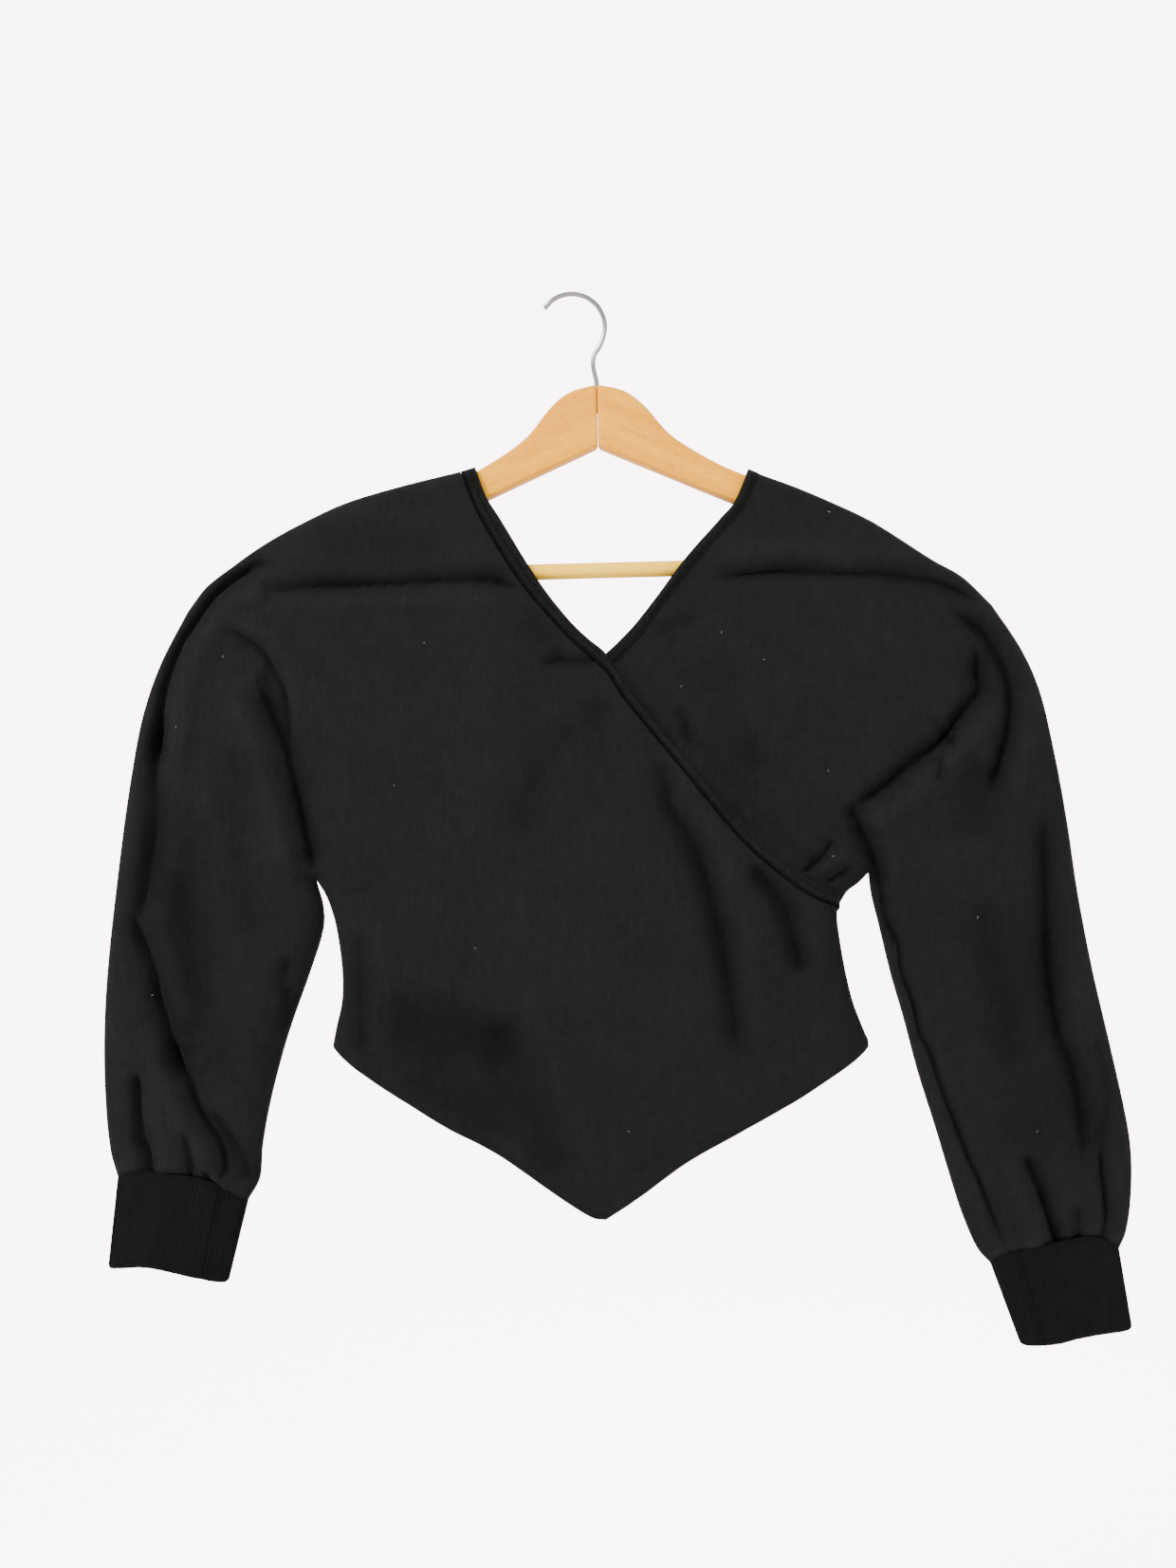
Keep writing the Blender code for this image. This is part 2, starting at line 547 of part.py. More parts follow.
def front_panels():
    across = spread(ACROSS)
    below = spread(BELOW, False, False)
    near = spread(BODY_HALF, True, False)
    far = spread(BODY_HALF, False, True)

    # the outer front: left sleeve, body, and across to the right side
    middle = between(SIDE_L[0], OVER_CORNER, LEVEL_SHARE)
    shares = np.concatenate([near * LEVEL_SHARE, LEVEL_SHARE + far[1:] * (1 - LEVEL_SHARE)])
    right_side = side_below(SIDE_R, OVER_CORNER)
    blocks = [
        net(OUTER_L, INNER_L, [OUTER_L[0], INNER_L[0]], ARMHOLE_L,
            spread(SLEEVE_ALONG, False, False), across),
        net(SHOULDER_L, [SIDE_L[0], OVER_CORNER], ARMHOLE_L, OVER_CLOTH, shares, across, CROWD),
        net([SIDE_L[0], middle], HEM_L, SIDE_L, [middle, HEM_L[-1]], near, below),
        net([middle, OVER_CORNER], HEM_R, [middle, HEM_R[0]], right_side, far, below),
    ]
    seams = [OUTER_L, INNER_L, SHOULDER_L, SIDE_L, right_side]
    panel("front_over", "front", blocks, seams, no_inset)
    band("neckband_over", "front", OVER_CLOTH, OVER_FREE, across**CROWD,
         [SHOULDER_L + [OVER_FREE[0]], [OVER_FREE[-1], OVER_CORNER]], no_inset, BAND_PROUD)

    # the inner front: right sleeve, body, and behind the outer front to the left side
    corner = UNDER_CLOTH[-1]
    share = (SIDE_R[0][0] - HEM_R[0][0]) / (SIDE_R[0][0] - corner[0])
    middle = between(SIDE_R[0], corner, share)
    shares = np.concatenate([near * share, share + far[1:] * (1 - share)])
    tucked_right = SIDE_R[:1] + PUFF_R + inset_line(SIDE_R[3:], -UNDERLAP)
    tucked_left = inset_line(side_below(SIDE_L, (corner[0] - UNDERLAP, corner[1])), UNDERLAP)
    tucked_left[0] = corner
    hem_left = [(x, z + HEM_STEP) for x, z in HEM_L]
    hem_right = [(x, z + HEM_STEP) for x, z in HEM_R]
    hem_left[0], hem_right[-1] = tucked_left[-1], tucked_right[-1]
    blocks = [
        net(OUTER_R, INNER_R, [OUTER_R[0], INNER_R[0]], ARMHOLE_R,
            spread(SLEEVE_ALONG, False, False), across),
        net(SHOULDER_R, [SIDE_R[0], corner], ARMHOLE_R, UNDER_CLOTH, shares, across, CROWD),
        net([SIDE_R[0], middle], hem_right[::-1], tucked_right, [middle, hem_right[0]], near, below),
        net([middle, corner], hem_left[::-1], [middle, hem_left[-1]], tucked_left, far, below),
    ]
    seams = [OUTER_R, INNER_R, SHOULDER_R, tucked_right, tucked_left]
    panel("front_under", "front", blocks, seams, hidden_behind_over)
    band("neckband_under", "front", UNDER_CLOTH, UNDER_FREE, across**CROWD,
         [SHOULDER_R + [UNDER_FREE[0]], [UNDER_FREE[-1], corner]], hidden_behind_over, TUCKED_PROUD)


def back_panel():
    across = spread(BACK_ACROSS)
    below = spread(BACK_BELOW, False, False)
    inward = spread(BACK_BODY, True, True)
    v_foot, hem_foot = BACK_CLOTH_L[-1], HEM_L[-1]
    blocks = []
    for outer, inner, armhole, shoulder, side, hem, cloth in (
        (OUTER_L, INNER_L, ARMHOLE_L, SHOULDER_L, SIDE_L, HEM_L, BACK_CLOTH_L),
        (OUTER_R, INNER_R, ARMHOLE_R, SHOULDER_R, SIDE_R, HEM_R[::-1], BACK_CLOTH_R),
    ):
        blocks.append(net(outer, inner, [outer[0], inner[0]], armhole,
                          spread(BACK_SLEEVE_ALONG, False, False), across))
        blocks.append(net(shoulder, [side[0], v_foot], armhole, cloth, inward, across, BACK_CROWD))
        blocks.append(net([side[0], v_foot], hem, side, [v_foot, hem_foot], inward, below))
    seams = [OUTER_L, INNER_L, SHOULDER_L, SIDE_L, OUTER_R, INNER_R, SHOULDER_R, SIDE_R]
    panel("back", "back", blocks, seams, no_inset)
    for name, cloth, free, shoulder, apart in (
        ("neckband_back_left", BACK_CLOTH_L, BACK_FREE_L, SHOULDER_L, -SEAM_GAP / 2),
        ("neckband_back_right", BACK_CLOTH_R, BACK_FREE_R, SHOULDER_R, SEAM_GAP / 2),
    ):
        band(name, "back", inset_line(cloth, apart), inset_line(free, apart), across**BACK_CROWD,
             [shoulder + [free[0]]], no_inset, TUCKED_PROUD)


def cuffs():
    cuff("cuff_left", OUTER_L[0], INNER_L[0], *CUFF_END_L)
    cuff("cuff_right", OUTER_R[0], INNER_R[0], *CUFF_END_R)


def hanger():
    hook_drill = cutter("drill_hook", hung(STEM_AT, 12.0), hung(STEM_AT, STEM_FOOT - DRILL_GAP),
                        WIRE / 2 + DRILL_GAP)
    bar_drill = cutter("drill_bar", hung(-BAR_REACH - DRILL_GAP, -BAR_DROP),
                       hung(BAR_REACH + DRILL_GAP, -BAR_DROP), BAR / 2 + DRILL_GAP)
    wooden_arm("hanger_arm_left", -1, wood, [hook_drill, bar_drill])
    wooden_arm("hanger_arm_right", 1, wood, [hook_drill, bar_drill])
    trouser_bar("hanger_bar", wood)
    wire_hook("hanger_hook", steel)


front_panels()
back_panel()
cuffs()
hanger()
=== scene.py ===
"""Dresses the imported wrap-front sweater: black knit and rib, a blond wooden hanger, a wire hook.

Metres, in the part's own frame: +Z up, the front faces -Y, the origin where a rail carries the hook.
Tables are in millimetres, as (x, z) places on the plane between the front and the back.
"""

import math

import bmesh
import bpy
import numpy as np
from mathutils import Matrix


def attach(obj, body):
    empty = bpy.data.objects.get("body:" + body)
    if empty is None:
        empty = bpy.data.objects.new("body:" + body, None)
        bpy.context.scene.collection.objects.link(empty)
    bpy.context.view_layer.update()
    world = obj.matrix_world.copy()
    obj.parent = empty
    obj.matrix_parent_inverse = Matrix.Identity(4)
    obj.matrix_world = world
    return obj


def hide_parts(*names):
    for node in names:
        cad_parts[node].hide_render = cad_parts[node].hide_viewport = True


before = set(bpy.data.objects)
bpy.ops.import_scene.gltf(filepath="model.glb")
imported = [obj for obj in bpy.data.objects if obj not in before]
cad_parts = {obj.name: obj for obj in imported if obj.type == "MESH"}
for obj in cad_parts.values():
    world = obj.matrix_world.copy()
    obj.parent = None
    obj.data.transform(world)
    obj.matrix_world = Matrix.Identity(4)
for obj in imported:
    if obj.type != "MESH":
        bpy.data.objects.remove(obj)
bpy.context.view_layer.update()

# ---------------------------------------------------------------------------------------- Hook
# One bright drawn wire, bent cold round a former. Below the crook it kinks back in, so that its
# foot stands over the middle of the wood, where it is screwed down.

MM = 0.001
WIRE = 3.2
CROOK_RADIUS = 22.4
CROOK_TIP, CROOK_END = 145, -20  # degrees round the crook's centre
CROOK_TURNS = 8
KINK = [(18.4, -34.6), (15.3, -39.6), (14.4, -44.5), (15.4, -52)]
APEX = (16.8, -60.7)  # top of the wood, where its two arms meet
TILT = math.radians(1.5)  # the hanger hangs a little high on the right
STEM_AT, STEM_TOP, STEM_FOOT = -0.1, 4.0, -18.0
WIRE_SIDES = 20
TIP_ROUND = 0.9


def hung(x, z):
    """A place on the hanger, given from its apex, turned with its tilt."""
    return (APEX[0] + x * math.cos(TILT) - z * math.sin(TILT),
            APEX[1] + x * math.sin(TILT) + z * math.cos(TILT))


def nothing_selected():
    if bpy.context.mode != "OBJECT":
        bpy.ops.object.mode_set(mode="OBJECT")
    bpy.ops.object.select_all(action="DESELECT")


def add_node(tree, kind, inputs=None, **settings):
    """A node with its settings, its inputs given as values or as other nodes' sockets."""
    made = tree.nodes.new(kind)
    for name, value in settings.items():
        setattr(made, name, value)
    for name, value in (inputs or {}).items():
        if isinstance(value, bpy.types.NodeSocket):
            tree.links.new(value, made.inputs[name])
        else:
            made.inputs[name].default_value = value
    return made


def maths(tree, operation, *values, clamp=False):
    """The result of one sum on values or sockets."""
    made = add_node(tree, "ShaderNodeMath", dict(enumerate(values)), operation=operation)
    made.use_clamp = clamp
    return made.outputs[0]


def noise(tree, place, scale, detail=2.0, roughness=0.5, distortion=0.0):
    """The grey of a cloudy pattern at this place."""
    return add_node(tree, "ShaderNodeTexNoise", {
        "Vector": place, "Scale": scale, "Detail": detail, "Roughness": roughness,
        "Distortion": distortion}).outputs["Fac"]


def ranged(tree, value, low=0.0, high=1.0, to_low=0.0, to_high=1.0):
    """A value stretched from one range to another."""
    return add_node(tree, "ShaderNodeMapRange", {
        "Value": value, "From Min": low, "From Max": high, "To Min": to_low,
        "To Max": to_high}).outputs["Result"]


def mixed(tree, share, first, second):
    """The colour this far from the first to the second."""
    return add_node(tree, "ShaderNodeMix", {"Factor": share, 6: first, 7: second},
                    data_type="RGBA").outputs[2]


def raise_by(tree, shader, height, strength, distance):
    """Raises the shader's surface by this height, as far as the distance in metres."""
    bump = add_node(tree, "ShaderNodeBump", {
        "Height": height, "Strength": strength, "Distance": distance})
    tree.links.new(bump.outputs["Normal"], shader.inputs["Normal"])


def new_material(name, slot_values):
    """A material whose shader has these constant values; returns its tree and its shader too."""
    made = bpy.data.materials.new(name)
    made.use_nodes = True
    shader = made.node_tree.nodes["Principled BSDF"]
    for socket, value in slot_values.items():
        shader.inputs[socket].default_value = value
    return made, made.node_tree, shader


def steel_wire():
    made, tree, shader = new_material("bright_steel", {
        "Base Color": (0.26, 0.26, 0.255, 1), "Metallic": 1.0, "Roughness": 0.24})
    place = add_node(tree, "ShaderNodeTexCoord").outputs["Object"]
    drawn = noise(tree, place, 900.0, 3.0, 0.6)
    rough = ranged(tree, drawn, to_low=0.17, to_high=0.34)
    tree.links.new(rough, shader.inputs["Roughness"])
    raise_by(tree, shader, drawn, 0.25, 0.0001)
    return made


crook_middle = WIRE / 2 - CROOK_RADIUS
crook = [(CROOK_RADIUS * math.cos(math.radians(turn)),
          crook_middle + CROOK_RADIUS * math.sin(math.radians(turn)))
         for turn in np.linspace(CROOK_TIP, CROOK_END, CROOK_TURNS)]
wire_route = crook + KINK + [hung(STEM_AT, STEM_TOP), hung(STEM_AT, STEM_FOOT)]
nothing_selected()
bpy.ops.curve.primitive_bezier_curve_add()
hook = bpy.context.active_object
hook.name = "hook_wire"
spline = hook.data.splines[0]
spline.bezier_points.add(len(wire_route) - len(spline.bezier_points))
for point, (x, z) in zip(spline.bezier_points, wire_route):
    point.co = (x * MM, 0, z * MM)
    point.handle_left_type = point.handle_right_type = "AUTO"
hook.data.dimensions = "3D"
hook.data.resolution_u = 10
hook.data.bevel_depth = WIRE / 2 * MM
hook.data.bevel_resolution = WIRE_SIDES // 4 - 2
hook.data.use_fill_caps = True
bpy.ops.object.convert(target="MESH")
tip = np.array([crook[0][0], 0, crook[0][1]]) * MM
work = bmesh.new()
work.from_mesh(hook.data)
bmesh.ops.remove_doubles(work, verts=work.verts, dist=0.01 * MM)
bmesh.ops.recalc_face_normals(work, faces=work.faces)
caps = [f for f in work.faces
        if len(f.verts) > 4 and np.linalg.norm(np.array(f.calc_center_median()) - tip) < WIRE * MM]
bmesh.ops.bevel(work, geom=[e for f in caps for e in f.edges], offset=TIP_ROUND * MM, segments=4,
                profile=0.5, affect="EDGES")
work.to_mesh(hook.data)
work.free()
bpy.ops.object.shade_smooth_by_angle(angle=math.radians(50))
hook.data.materials.clear()
hook.data.materials.append(steel_wire())
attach(hook, "root")
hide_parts("hanger_hook")

# ---------------------------------------------------------------------------------------- Arms
# Two arms sawn from blond hardwood, sanded round along their edges, oiled, and glued end to end
# under the hook. The grain of each runs along it, so that it breaks at the joint.

ARM_THICK = 14.0
ARM_EASED = 2.2  # radius of the sanded edges
JOINT_GAP = 0.3
ARM_TOP = [(0, 0), (18.3, -4.8), (32, -15.4), (46, -32.3), (60.2, -43.5), (82, -56.3),
           (100.5, -64.5), (134, -79.5), (185, -105.5), (207, -121), (216, -128.5)]
ARM_END = [(220, -134.5), (218.5, -140.5), (212, -143)]
ARM_UNDER = [(200, -136.5), (184, -124.5), (160, -111.9), (80, -76.6), (0, -41.3)]
ARM_STATIONS = 56
GRAIN_SLOPE = {-1: math.radians(21), 1: math.radians(-24)}  # of the fibres, against the level
LONG_EDGES = math.radians(60)


def through(points, steps=12):
    """A dense smooth line through the given places."""
    p = np.array(points, float)
    if len(p) == 2:
        return p
    ends = np.vstack([2 * p[0] - p[1], p, 2 * p[-1] - p[-2]])
    t = np.linspace(0, 1, steps, endpoint=False)[:, None]
    runs = [
        0.5 * (2 * b + (c - a) * t + (2 * a - 5 * b + 4 * c - d) * t**2
               + (3 * b - a - 3 * c + d) * t**3)
        for a, b, c, d in zip(ends, ends[1:], ends[2:], ends[3:])
    ]
    return np.vstack(runs + [p[-1:]])


def along(points, shares):
    """The places at these shares of the length of the smooth line through the points."""
    line = through(points)
    run = np.concatenate([[0], np.cumsum(np.linalg.norm(np.diff(line, axis=0), axis=1))])
    at = np.asarray(shares) * run[-1]
    return np.column_stack([np.interp(at, run, line[:, k]) for k in (0, 1)])


def wood_grain():
    """A group: pale wood with soft bands, long streaks and short pores along its X."""
    tree = bpy.data.node_groups.new("wood_grain", "ShaderNodeTree")
    face = tree.interface
    face.new_socket("Along", in_out="INPUT", socket_type="NodeSocketVector")
    for name in ("Light", "Deep", "Pore"):
        face.new_socket(name, in_out="INPUT", socket_type="NodeSocketColor")
    face.new_socket("Color", in_out="OUTPUT", socket_type="NodeSocketColor")
    face.new_socket("Roughness", in_out="OUTPUT", socket_type="NodeSocketFloat")
    face.new_socket("Height", in_out="OUTPUT", socket_type="NodeSocketFloat")
    given = add_node(tree, "NodeGroupInput").outputs

    def streaks(length, width, detail, distortion):
        """Noise drawn out along the fibres, its spots this long and wide in metres."""
        drawn = add_node(tree, "ShaderNodeVectorMath", {
            0: given["Along"], 1: (1 / length, 1 / width, 1 / width)}, operation="MULTIPLY")
        return noise(tree, drawn.outputs[0], 1.0, detail, distortion=distortion)

    bands = ranged(tree, streaks(0.090, 0.0095, 2.0, 0.6), 0.35, 0.68)
    fine = ranged(tree, streaks(0.024, 0.0011, 3.0, 0.2), 0.38, 0.72)
    pores = ranged(tree, streaks(0.0062, 0.00055, 1.0, 0.1), 0.60, 0.72)
    tone = maths(tree, "ADD", maths(tree, "MULTIPLY", bands, 0.62),
                 maths(tree, "MULTIPLY", fine, 0.38))
    body = mixed(tree, tone, given["Light"], given["Deep"])
    pored = mixed(tree, maths(tree, "MULTIPLY", pores, 0.55), body, given["Pore"])
    height = maths(tree, "SUBTRACT", maths(tree, "MULTIPLY", fine, -0.35), pores)
    add_node(tree, "NodeGroupOutput", {
        "Color": pored, "Roughness": ranged(tree, tone, to_low=0.34, to_high=0.50),
        "Height": height})
    return tree


GRAIN = wood_grain()


def wood(name, slope, light, deep, pore, coat):
    """Oiled wood whose fibres lie in the X-Z plane at this slope."""
    made, tree, shader = new_material(name, {
        "Coat Weight": coat, "Coat Roughness": 0.28, "IOR": 1.5, "Specular IOR Level": 0.08})
    place = add_node(tree, "ShaderNodeTexCoord").outputs["Object"]
    turned = add_node(tree, "ShaderNodeMapping", {
        "Vector": place, "Rotation": (0, slope, 0)}, vector_type="POINT")
    grain = add_node(tree, "ShaderNodeGroup", node_tree=GRAIN)
    tree.links.new(turned.outputs["Vector"], grain.inputs["Along"])
    for socket, colour in (("Light", light), ("Deep", deep), ("Pore", pore)):
        grain.inputs[socket].default_value = (*colour, 1)
    tree.links.new(grain.outputs["Color"], shader.inputs["Base Color"])
    tree.links.new(grain.outputs["Roughness"], shader.inputs["Roughness"])
    raise_by(tree, shader, grain.outputs["Height"], 0.5, 0.00012)
    return made


for side, hand in (("left", -1), ("right", 1)):
    line = np.vstack([along(ARM_TOP, np.linspace(0, 1, ARM_STATIONS)),
                      through(ARM_TOP[-1:] + ARM_END + ARM_UNDER[:1], 5)[1:-1],
                      along(ARM_UNDER, np.linspace(0, 1, ARM_STATIONS // 2))])
    line[0, 0] = line[-1, 0] = JOINT_GAP / 2
    outline = [hung(hand * x, z) for x, z in line]
    nothing_selected()
    bpy.ops.mesh.primitive_circle_add(vertices=len(outline), radius=0.1, fill_type="NGON")
    arm = bpy.context.active_object
    arm.name = f"arm_{side}_wood"
    places = np.array([(x * MM, -ARM_THICK / 2 * MM, z * MM) for x, z in outline])
    arm.data.vertices.foreach_set("co", places.ravel())
    bpy.ops.object.mode_set(mode="EDIT")
    bpy.ops.mesh.select_all(action="SELECT")
    bpy.ops.mesh.extrude_region_move(TRANSFORM_OT_translate={"value": (0, ARM_THICK * MM, 0)})
    bpy.ops.mesh.select_all(action="SELECT")
    bpy.ops.mesh.normals_make_consistent(inside=False)
    bpy.ops.object.mode_set(mode="OBJECT")
    eased = arm.modifiers.new("eased edges", "BEVEL")
    eased.width = ARM_EASED * MM
    eased.segments = 5
    eased.limit_method = "ANGLE"
    eased.angle_limit = LONG_EDGES
    bpy.ops.object.modifier_apply(modifier=eased.name)
    bpy.ops.object.shade_smooth_by_angle(angle=math.radians(35))
    arm.data.materials.append(wood(f"blond_wood_{side}", GRAIN_SLOPE[hand], (0.82, 0.36, 0.010),
                                   (0.66, 0.25, 0.004), (0.40, 0.13, 0.003), 0.02))
    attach(arm, "root")
    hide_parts(f"hanger_arm_{side}")

# ---------------------------------------------------------------------------------------- Bar
# A turned dowel of paler, unstained wood for trousers. Its ends are pressed into a seat drilled in
# each arm, so that it holds the two apart.

BAR = 10.6
BAR_DROP = 124.2  # from the apex down to its axis
BAR_REACH = 199.7
BAR_SIDES = 48

(left_x, left_z), (right_x, right_z) = (hung(hand * BAR_REACH, -BAR_DROP) for hand in (-1, 1))
nothing_selected()
bpy.ops.mesh.primitive_cylinder_add(
    vertices=BAR_SIDES, radius=BAR / 2 * MM, depth=2 * BAR_REACH * MM,
    location=((left_x + right_x) / 2 * MM, 0, (left_z + right_z) / 2 * MM),
    rotation=(0, math.pi / 2 - TILT, 0))
bar = bpy.context.active_object
bar.name = "bar_dowel"
bpy.ops.object.transform_apply(location=True, rotation=True, scale=True)
bpy.ops.object.mode_set(mode="EDIT")
bpy.ops.mesh.select_all(action="SELECT")
bpy.ops.mesh.bisect(plane_co=((left_x + right_x) / 2 * MM, 0, 0), plane_no=(1, 0, 0))
bpy.ops.object.mode_set(mode="OBJECT")
ends = bar.modifiers.new("turned ends", "BEVEL")
ends.width = 0.8 * MM
ends.segments = 3
ends.limit_method = "ANGLE"
ends.angle_limit = LONG_EDGES
bpy.ops.object.modifier_apply(modifier=ends.name)
bpy.ops.object.shade_smooth_by_angle(angle=math.radians(35))
bar.data.materials.append(wood("pale_dowel", -TILT, (0.94, 0.58, 0.05), (0.84, 0.46, 0.03),
                               (0.58, 0.27, 0.01), 0.02))
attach(bar, "root")
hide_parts("hanger_bar")

# ---------------------------------------------------------------------------------------- Back
# One piece of black cotton sweatshirt knit, cut with its two sleeves, that hangs from the hanger's
# arms. It is joined to the fronts along the shoulders, the sleeves and the sides.

WALL = 1.8
SEAM_GAP = 0.3  # between two pieces at a seam
OUTER_L = [(-306, -594), (-311, -576), (-314, -546), (-315, -498), (-312, -446), (-304, -375),
           (-297, -325), (-289, -283), (-277, -248), (-259, -213)]
INNER_L = [(-218, -609), (-210, -594), (-208, -571), (-202, -539), (-191, -498), (-177, -458),
           (-168, -430), (-167, -413), (-172, -394)]
ARMHOLE_L = [(-259, -213), (-240, -232), (-221, -268), (-207, -310), (-198, -348), (-188, -376),
             (-172, -394)]
SHOULDER_L = [(-259, -213), (-246, -196), (-228, -182), (-208, -168), (-185, -155), (-153, -140),
              (-117, -129), (-81, -120), (-75, -118.5)]
OUTER_R = [(369, -642), (374, -630), (377, -607), (377, -578), (373, -550), (362, -501),
           (351, -454), (341, -402), (334, -355), (326, -311), (316, -268), (303, -238),
           (283, -208)]
INNER_R = [(282.5, -652), (273, -641), (263, -618), (254, -590), (245, -560), (233, -522),
           (224, -488), (215, -457), (207, -424), (202, -404), (200, -389)]
ARMHOLE_R = [(283, -208), (275, -243), (262, -284), (246, -322), (231, -352), (217, -375),
             (200, -389)]
SHOULDER_R = [(283, -208), (263, -189), (242, -177), (204, -153), (177, -140), (151, -129),
              (129, -121), (126, -119.5)]
SIDE_L = [(-172, -394), (-165, -406), (-159, -425), (-155, -453), (-155, -475), (-159, -494),
          (-161, -505)]
SIDE_R = [(200, -389), (192, -396), (184, -404), (179, -418), (183, -446), (189, -473),
          (196, -492), (200, -501)]
HEM_L = [(-161, -505), (-135, -525), (-88, -555), (-50, -575), (-20, -596), (11, -616), (23, -619)]
HEM_R = [(23, -619), (37, -610), (77, -581), (114, -560), (154, -537), (194, -509), (200, -501)]
BACK_CLOTH_L = [(-75, -118.5), (-66, -142), (-55, -163), (-33, -197), (-6, -229), (24, -263)]
BACK_CLOTH_R = [(126, -119.5), (116, -143), (106, -156), (83, -184), (54, -225), (24, -263)]

# Form of the cloth at each height: half its depth, and how far in from a closed edge it rounds
# z, half depth, rounding
BODY_FORM = [
    (-110, 11.2, 8),
    (-145, 11.4, 9.5),
    (-170, 11.8, 12),
    (-210, 12.6, 17),
    (-300, 14.0, 22),
    (-450, 14.5, 24),
    (-560, 13.5, 24),
    (-720, 12.0, 24),
]
CUFF_DEPTH = 11.0
CUFF_BLEND = 70.0  # over this length above a cuff the sleeve rounds to the cuff's oval
# The seam of each cuff rises between the closed edges, in front more than behind
# share from the outer to the inner edge, rise
SEAM_RISE_L = [(0, 0), (0.07, 5), (0.28, 10), (0.47, 11), (0.68, 10.4), (0.81, 7.2), (0.91, 3.4),
               (1, 0)]
SEAM_RISE_R = [(0, 0), (0.06, 5.2), (0.15, 10.4), (0.27, 13), (0.54, 11.6), (0.84, 9.3), (0.96, 5),
               (1, 0)]
RISE_BEHIND = 0.35
SEAM_STATIONS = 40
SEAM_PULL, SEAM_PUFF = 0.9, 2.2  # the cuff's seam draws the sleeve in, and the cloth puffs above it
SEAM_WIDE, PUFF_START, PUFF_HIGH = 1.6, 4.0, 9.0

# Each crease sinks as a wide trough with a narrow cleft along its run, and lifts one side as a lip;
# shade is painted into its trough and cleft, and light onto its lip
FADE_IN, FADE_OUT = 0.16, 0.12  # shares of the run over which it sets in and dies out, at least
ROUND_END = 1.2  # and in widths of its trough
LIP_AT, LIP_WIDE = 1.7, 1.1  # the lip's place and width, in widths of the trough
NEAR = 34.0  # a crease moves nothing further off than this
FOLD_EDGE = 10.0  # creases die out over this distance from a closed edge
CLEFT_NEAR = 3.0  # in widths of the cleft
CRISP, SOFT = 0.5, 1.35  # a cleft is narrow towards its lip, where the cloth folds over
FULL_CUT = 4.0  # a cleft cut this deep gets its full painted shade
LEAST_BROAD, MOST_BROAD, BROAD_SEED = 0.85, 1.2, 500  # a crease's breadth changes along it
BROAD_END = 0.55  # and comes down to this share at its ends
TROUGH_DARK, LIP_LIGHT = 0.125, 0.06  # painted shade in a trough and painted light on a lip, as shares of the tone for each millimetre sunk or lifted
# at most this much painted shade or light in all
MOST_SHADE = 0.6
# The creases' painted shade rides on the mesh in these attributes: the place across a cleft, the cleft's
# shade strength, and the trough and lip shade
PAINTED_SHADE_VALUES = ("cleft_off", "cleft_shade_strength", "cleft_shade")
# Clefts are painted towards this near-black shade, at most by this share
PAINTED_CLEFT_SHADE, CLEFT_SHADED = (0.0012, 0.0012, 0.0012, 1), 0.9
# name, trough, sink, cleft, cut, lip, side of the lip (1 = left of the run), run
BACK_CREASES = [
    ("armpit left", 8, 3.4, 2.8, 4.6, 2.6, -1, [(-222, -240), (-203, -277), (-190, -320), (-174, -388)]),
    ("sleeve left", 9, 3.0, 3.2, 3.6, 2.2, 1,
     [(-274, -300), (-276, -350), (-270, -400), (-262, -480), (-252, -560), (-250, -602)]),
    ("sleeve inner left", 10, 2.0, 3.0, 0.8, 1.0, -1, [(-214, -420), (-222, -470), (-226, -530)]),
    ("elbow left", 9, 2.0, 3.0, 1.6, 1.2, 1, [(-292, -440), (-268, -452), (-240, -450)]),
    ("armpit right", 8, 3.4, 2.8, 4.6, 2.6, 1, [(262, -236), (250, -288), (226, -326), (203, -384)]),
    ("sleeve right", 9, 3.0, 3.2, 3.6, 2.2, -1,
     [(298, -290), (300, -340), (304, -400), (314, -480), (326, -570), (336, -636)]),
    ("sleeve inner right", 10, 2.0, 3.0, 0.9, 1.0, 1, [(238, -430), (254, -490), (272, -550)]),
    ("elbow right", 9, 2.0, 3.0, 1.6, 1.2, -1, [(336, -420), (308, -436), (280, -430)]),
    ("below the bar left", 8, 2.2, 2.8, 2.4, 1.6, 1,
     [(-200, -204), (-160, -199), (-110, -198), (-58, -204)]),
    ("below the bar right", 8, 2.2, 2.8, 2.4, 1.6, 1,
     [(104, -196), (150, -192), (210, -192), (256, -202)]),
    ("body left", 13, 2.3, 4.0, 0.7, 1.5, 1, [(-60, -300), (-75, -380), (-80, -470), (-70, -550)]),
    ("body right", 13, 2.3, 4.0, 0.7, 1.5, -1, [(95, -290), (112, -370), (115, -460), (98, -550)]),
    ("side left", 11, 1.6, 3.4, 0.6, 1.0, -1, [(-150, -402), (-128, -440), (-122, -486)]),
    ("side right", 11, 1.6, 3.4, 0.6, 1.0, 1, [(176, -400), (154, -440), (150, -480)]),
    ("back neck", 12, 1.8, 4.0, 0.4, 0.0, 1, [(24, -278), (22, -330), (28, -400)]),
    ("shoulder blade left", 14, 1.4, 4.0, 0.0, 0.8, 1, [(-30, -262), (-90, -300), (-130, -352)]),
    ("shoulder blade right", 14, 1.4, 4.0, 0.0, 0.8, -1, [(76, -258), (136, -296), (170, -350)]),
]
# Gathers where a sleeve is eased into its cuff: how many, and their lengths, widths and depths
GATHERS, GATHER_LONG, GATHER_WIDE, GATHER_DEEP = 17, (6, 26), (1.5, 3.0), (0.7, 2.0)
GATHER_STRAY, GATHER_LEAN, GATHER_FADE, GATHER_REACH = 0.35, 0.12, 1.6, 60.0
# Painted shade in the tucks and painted light on the puffs, for each millimetre
GATHER_SHADE = 0.13
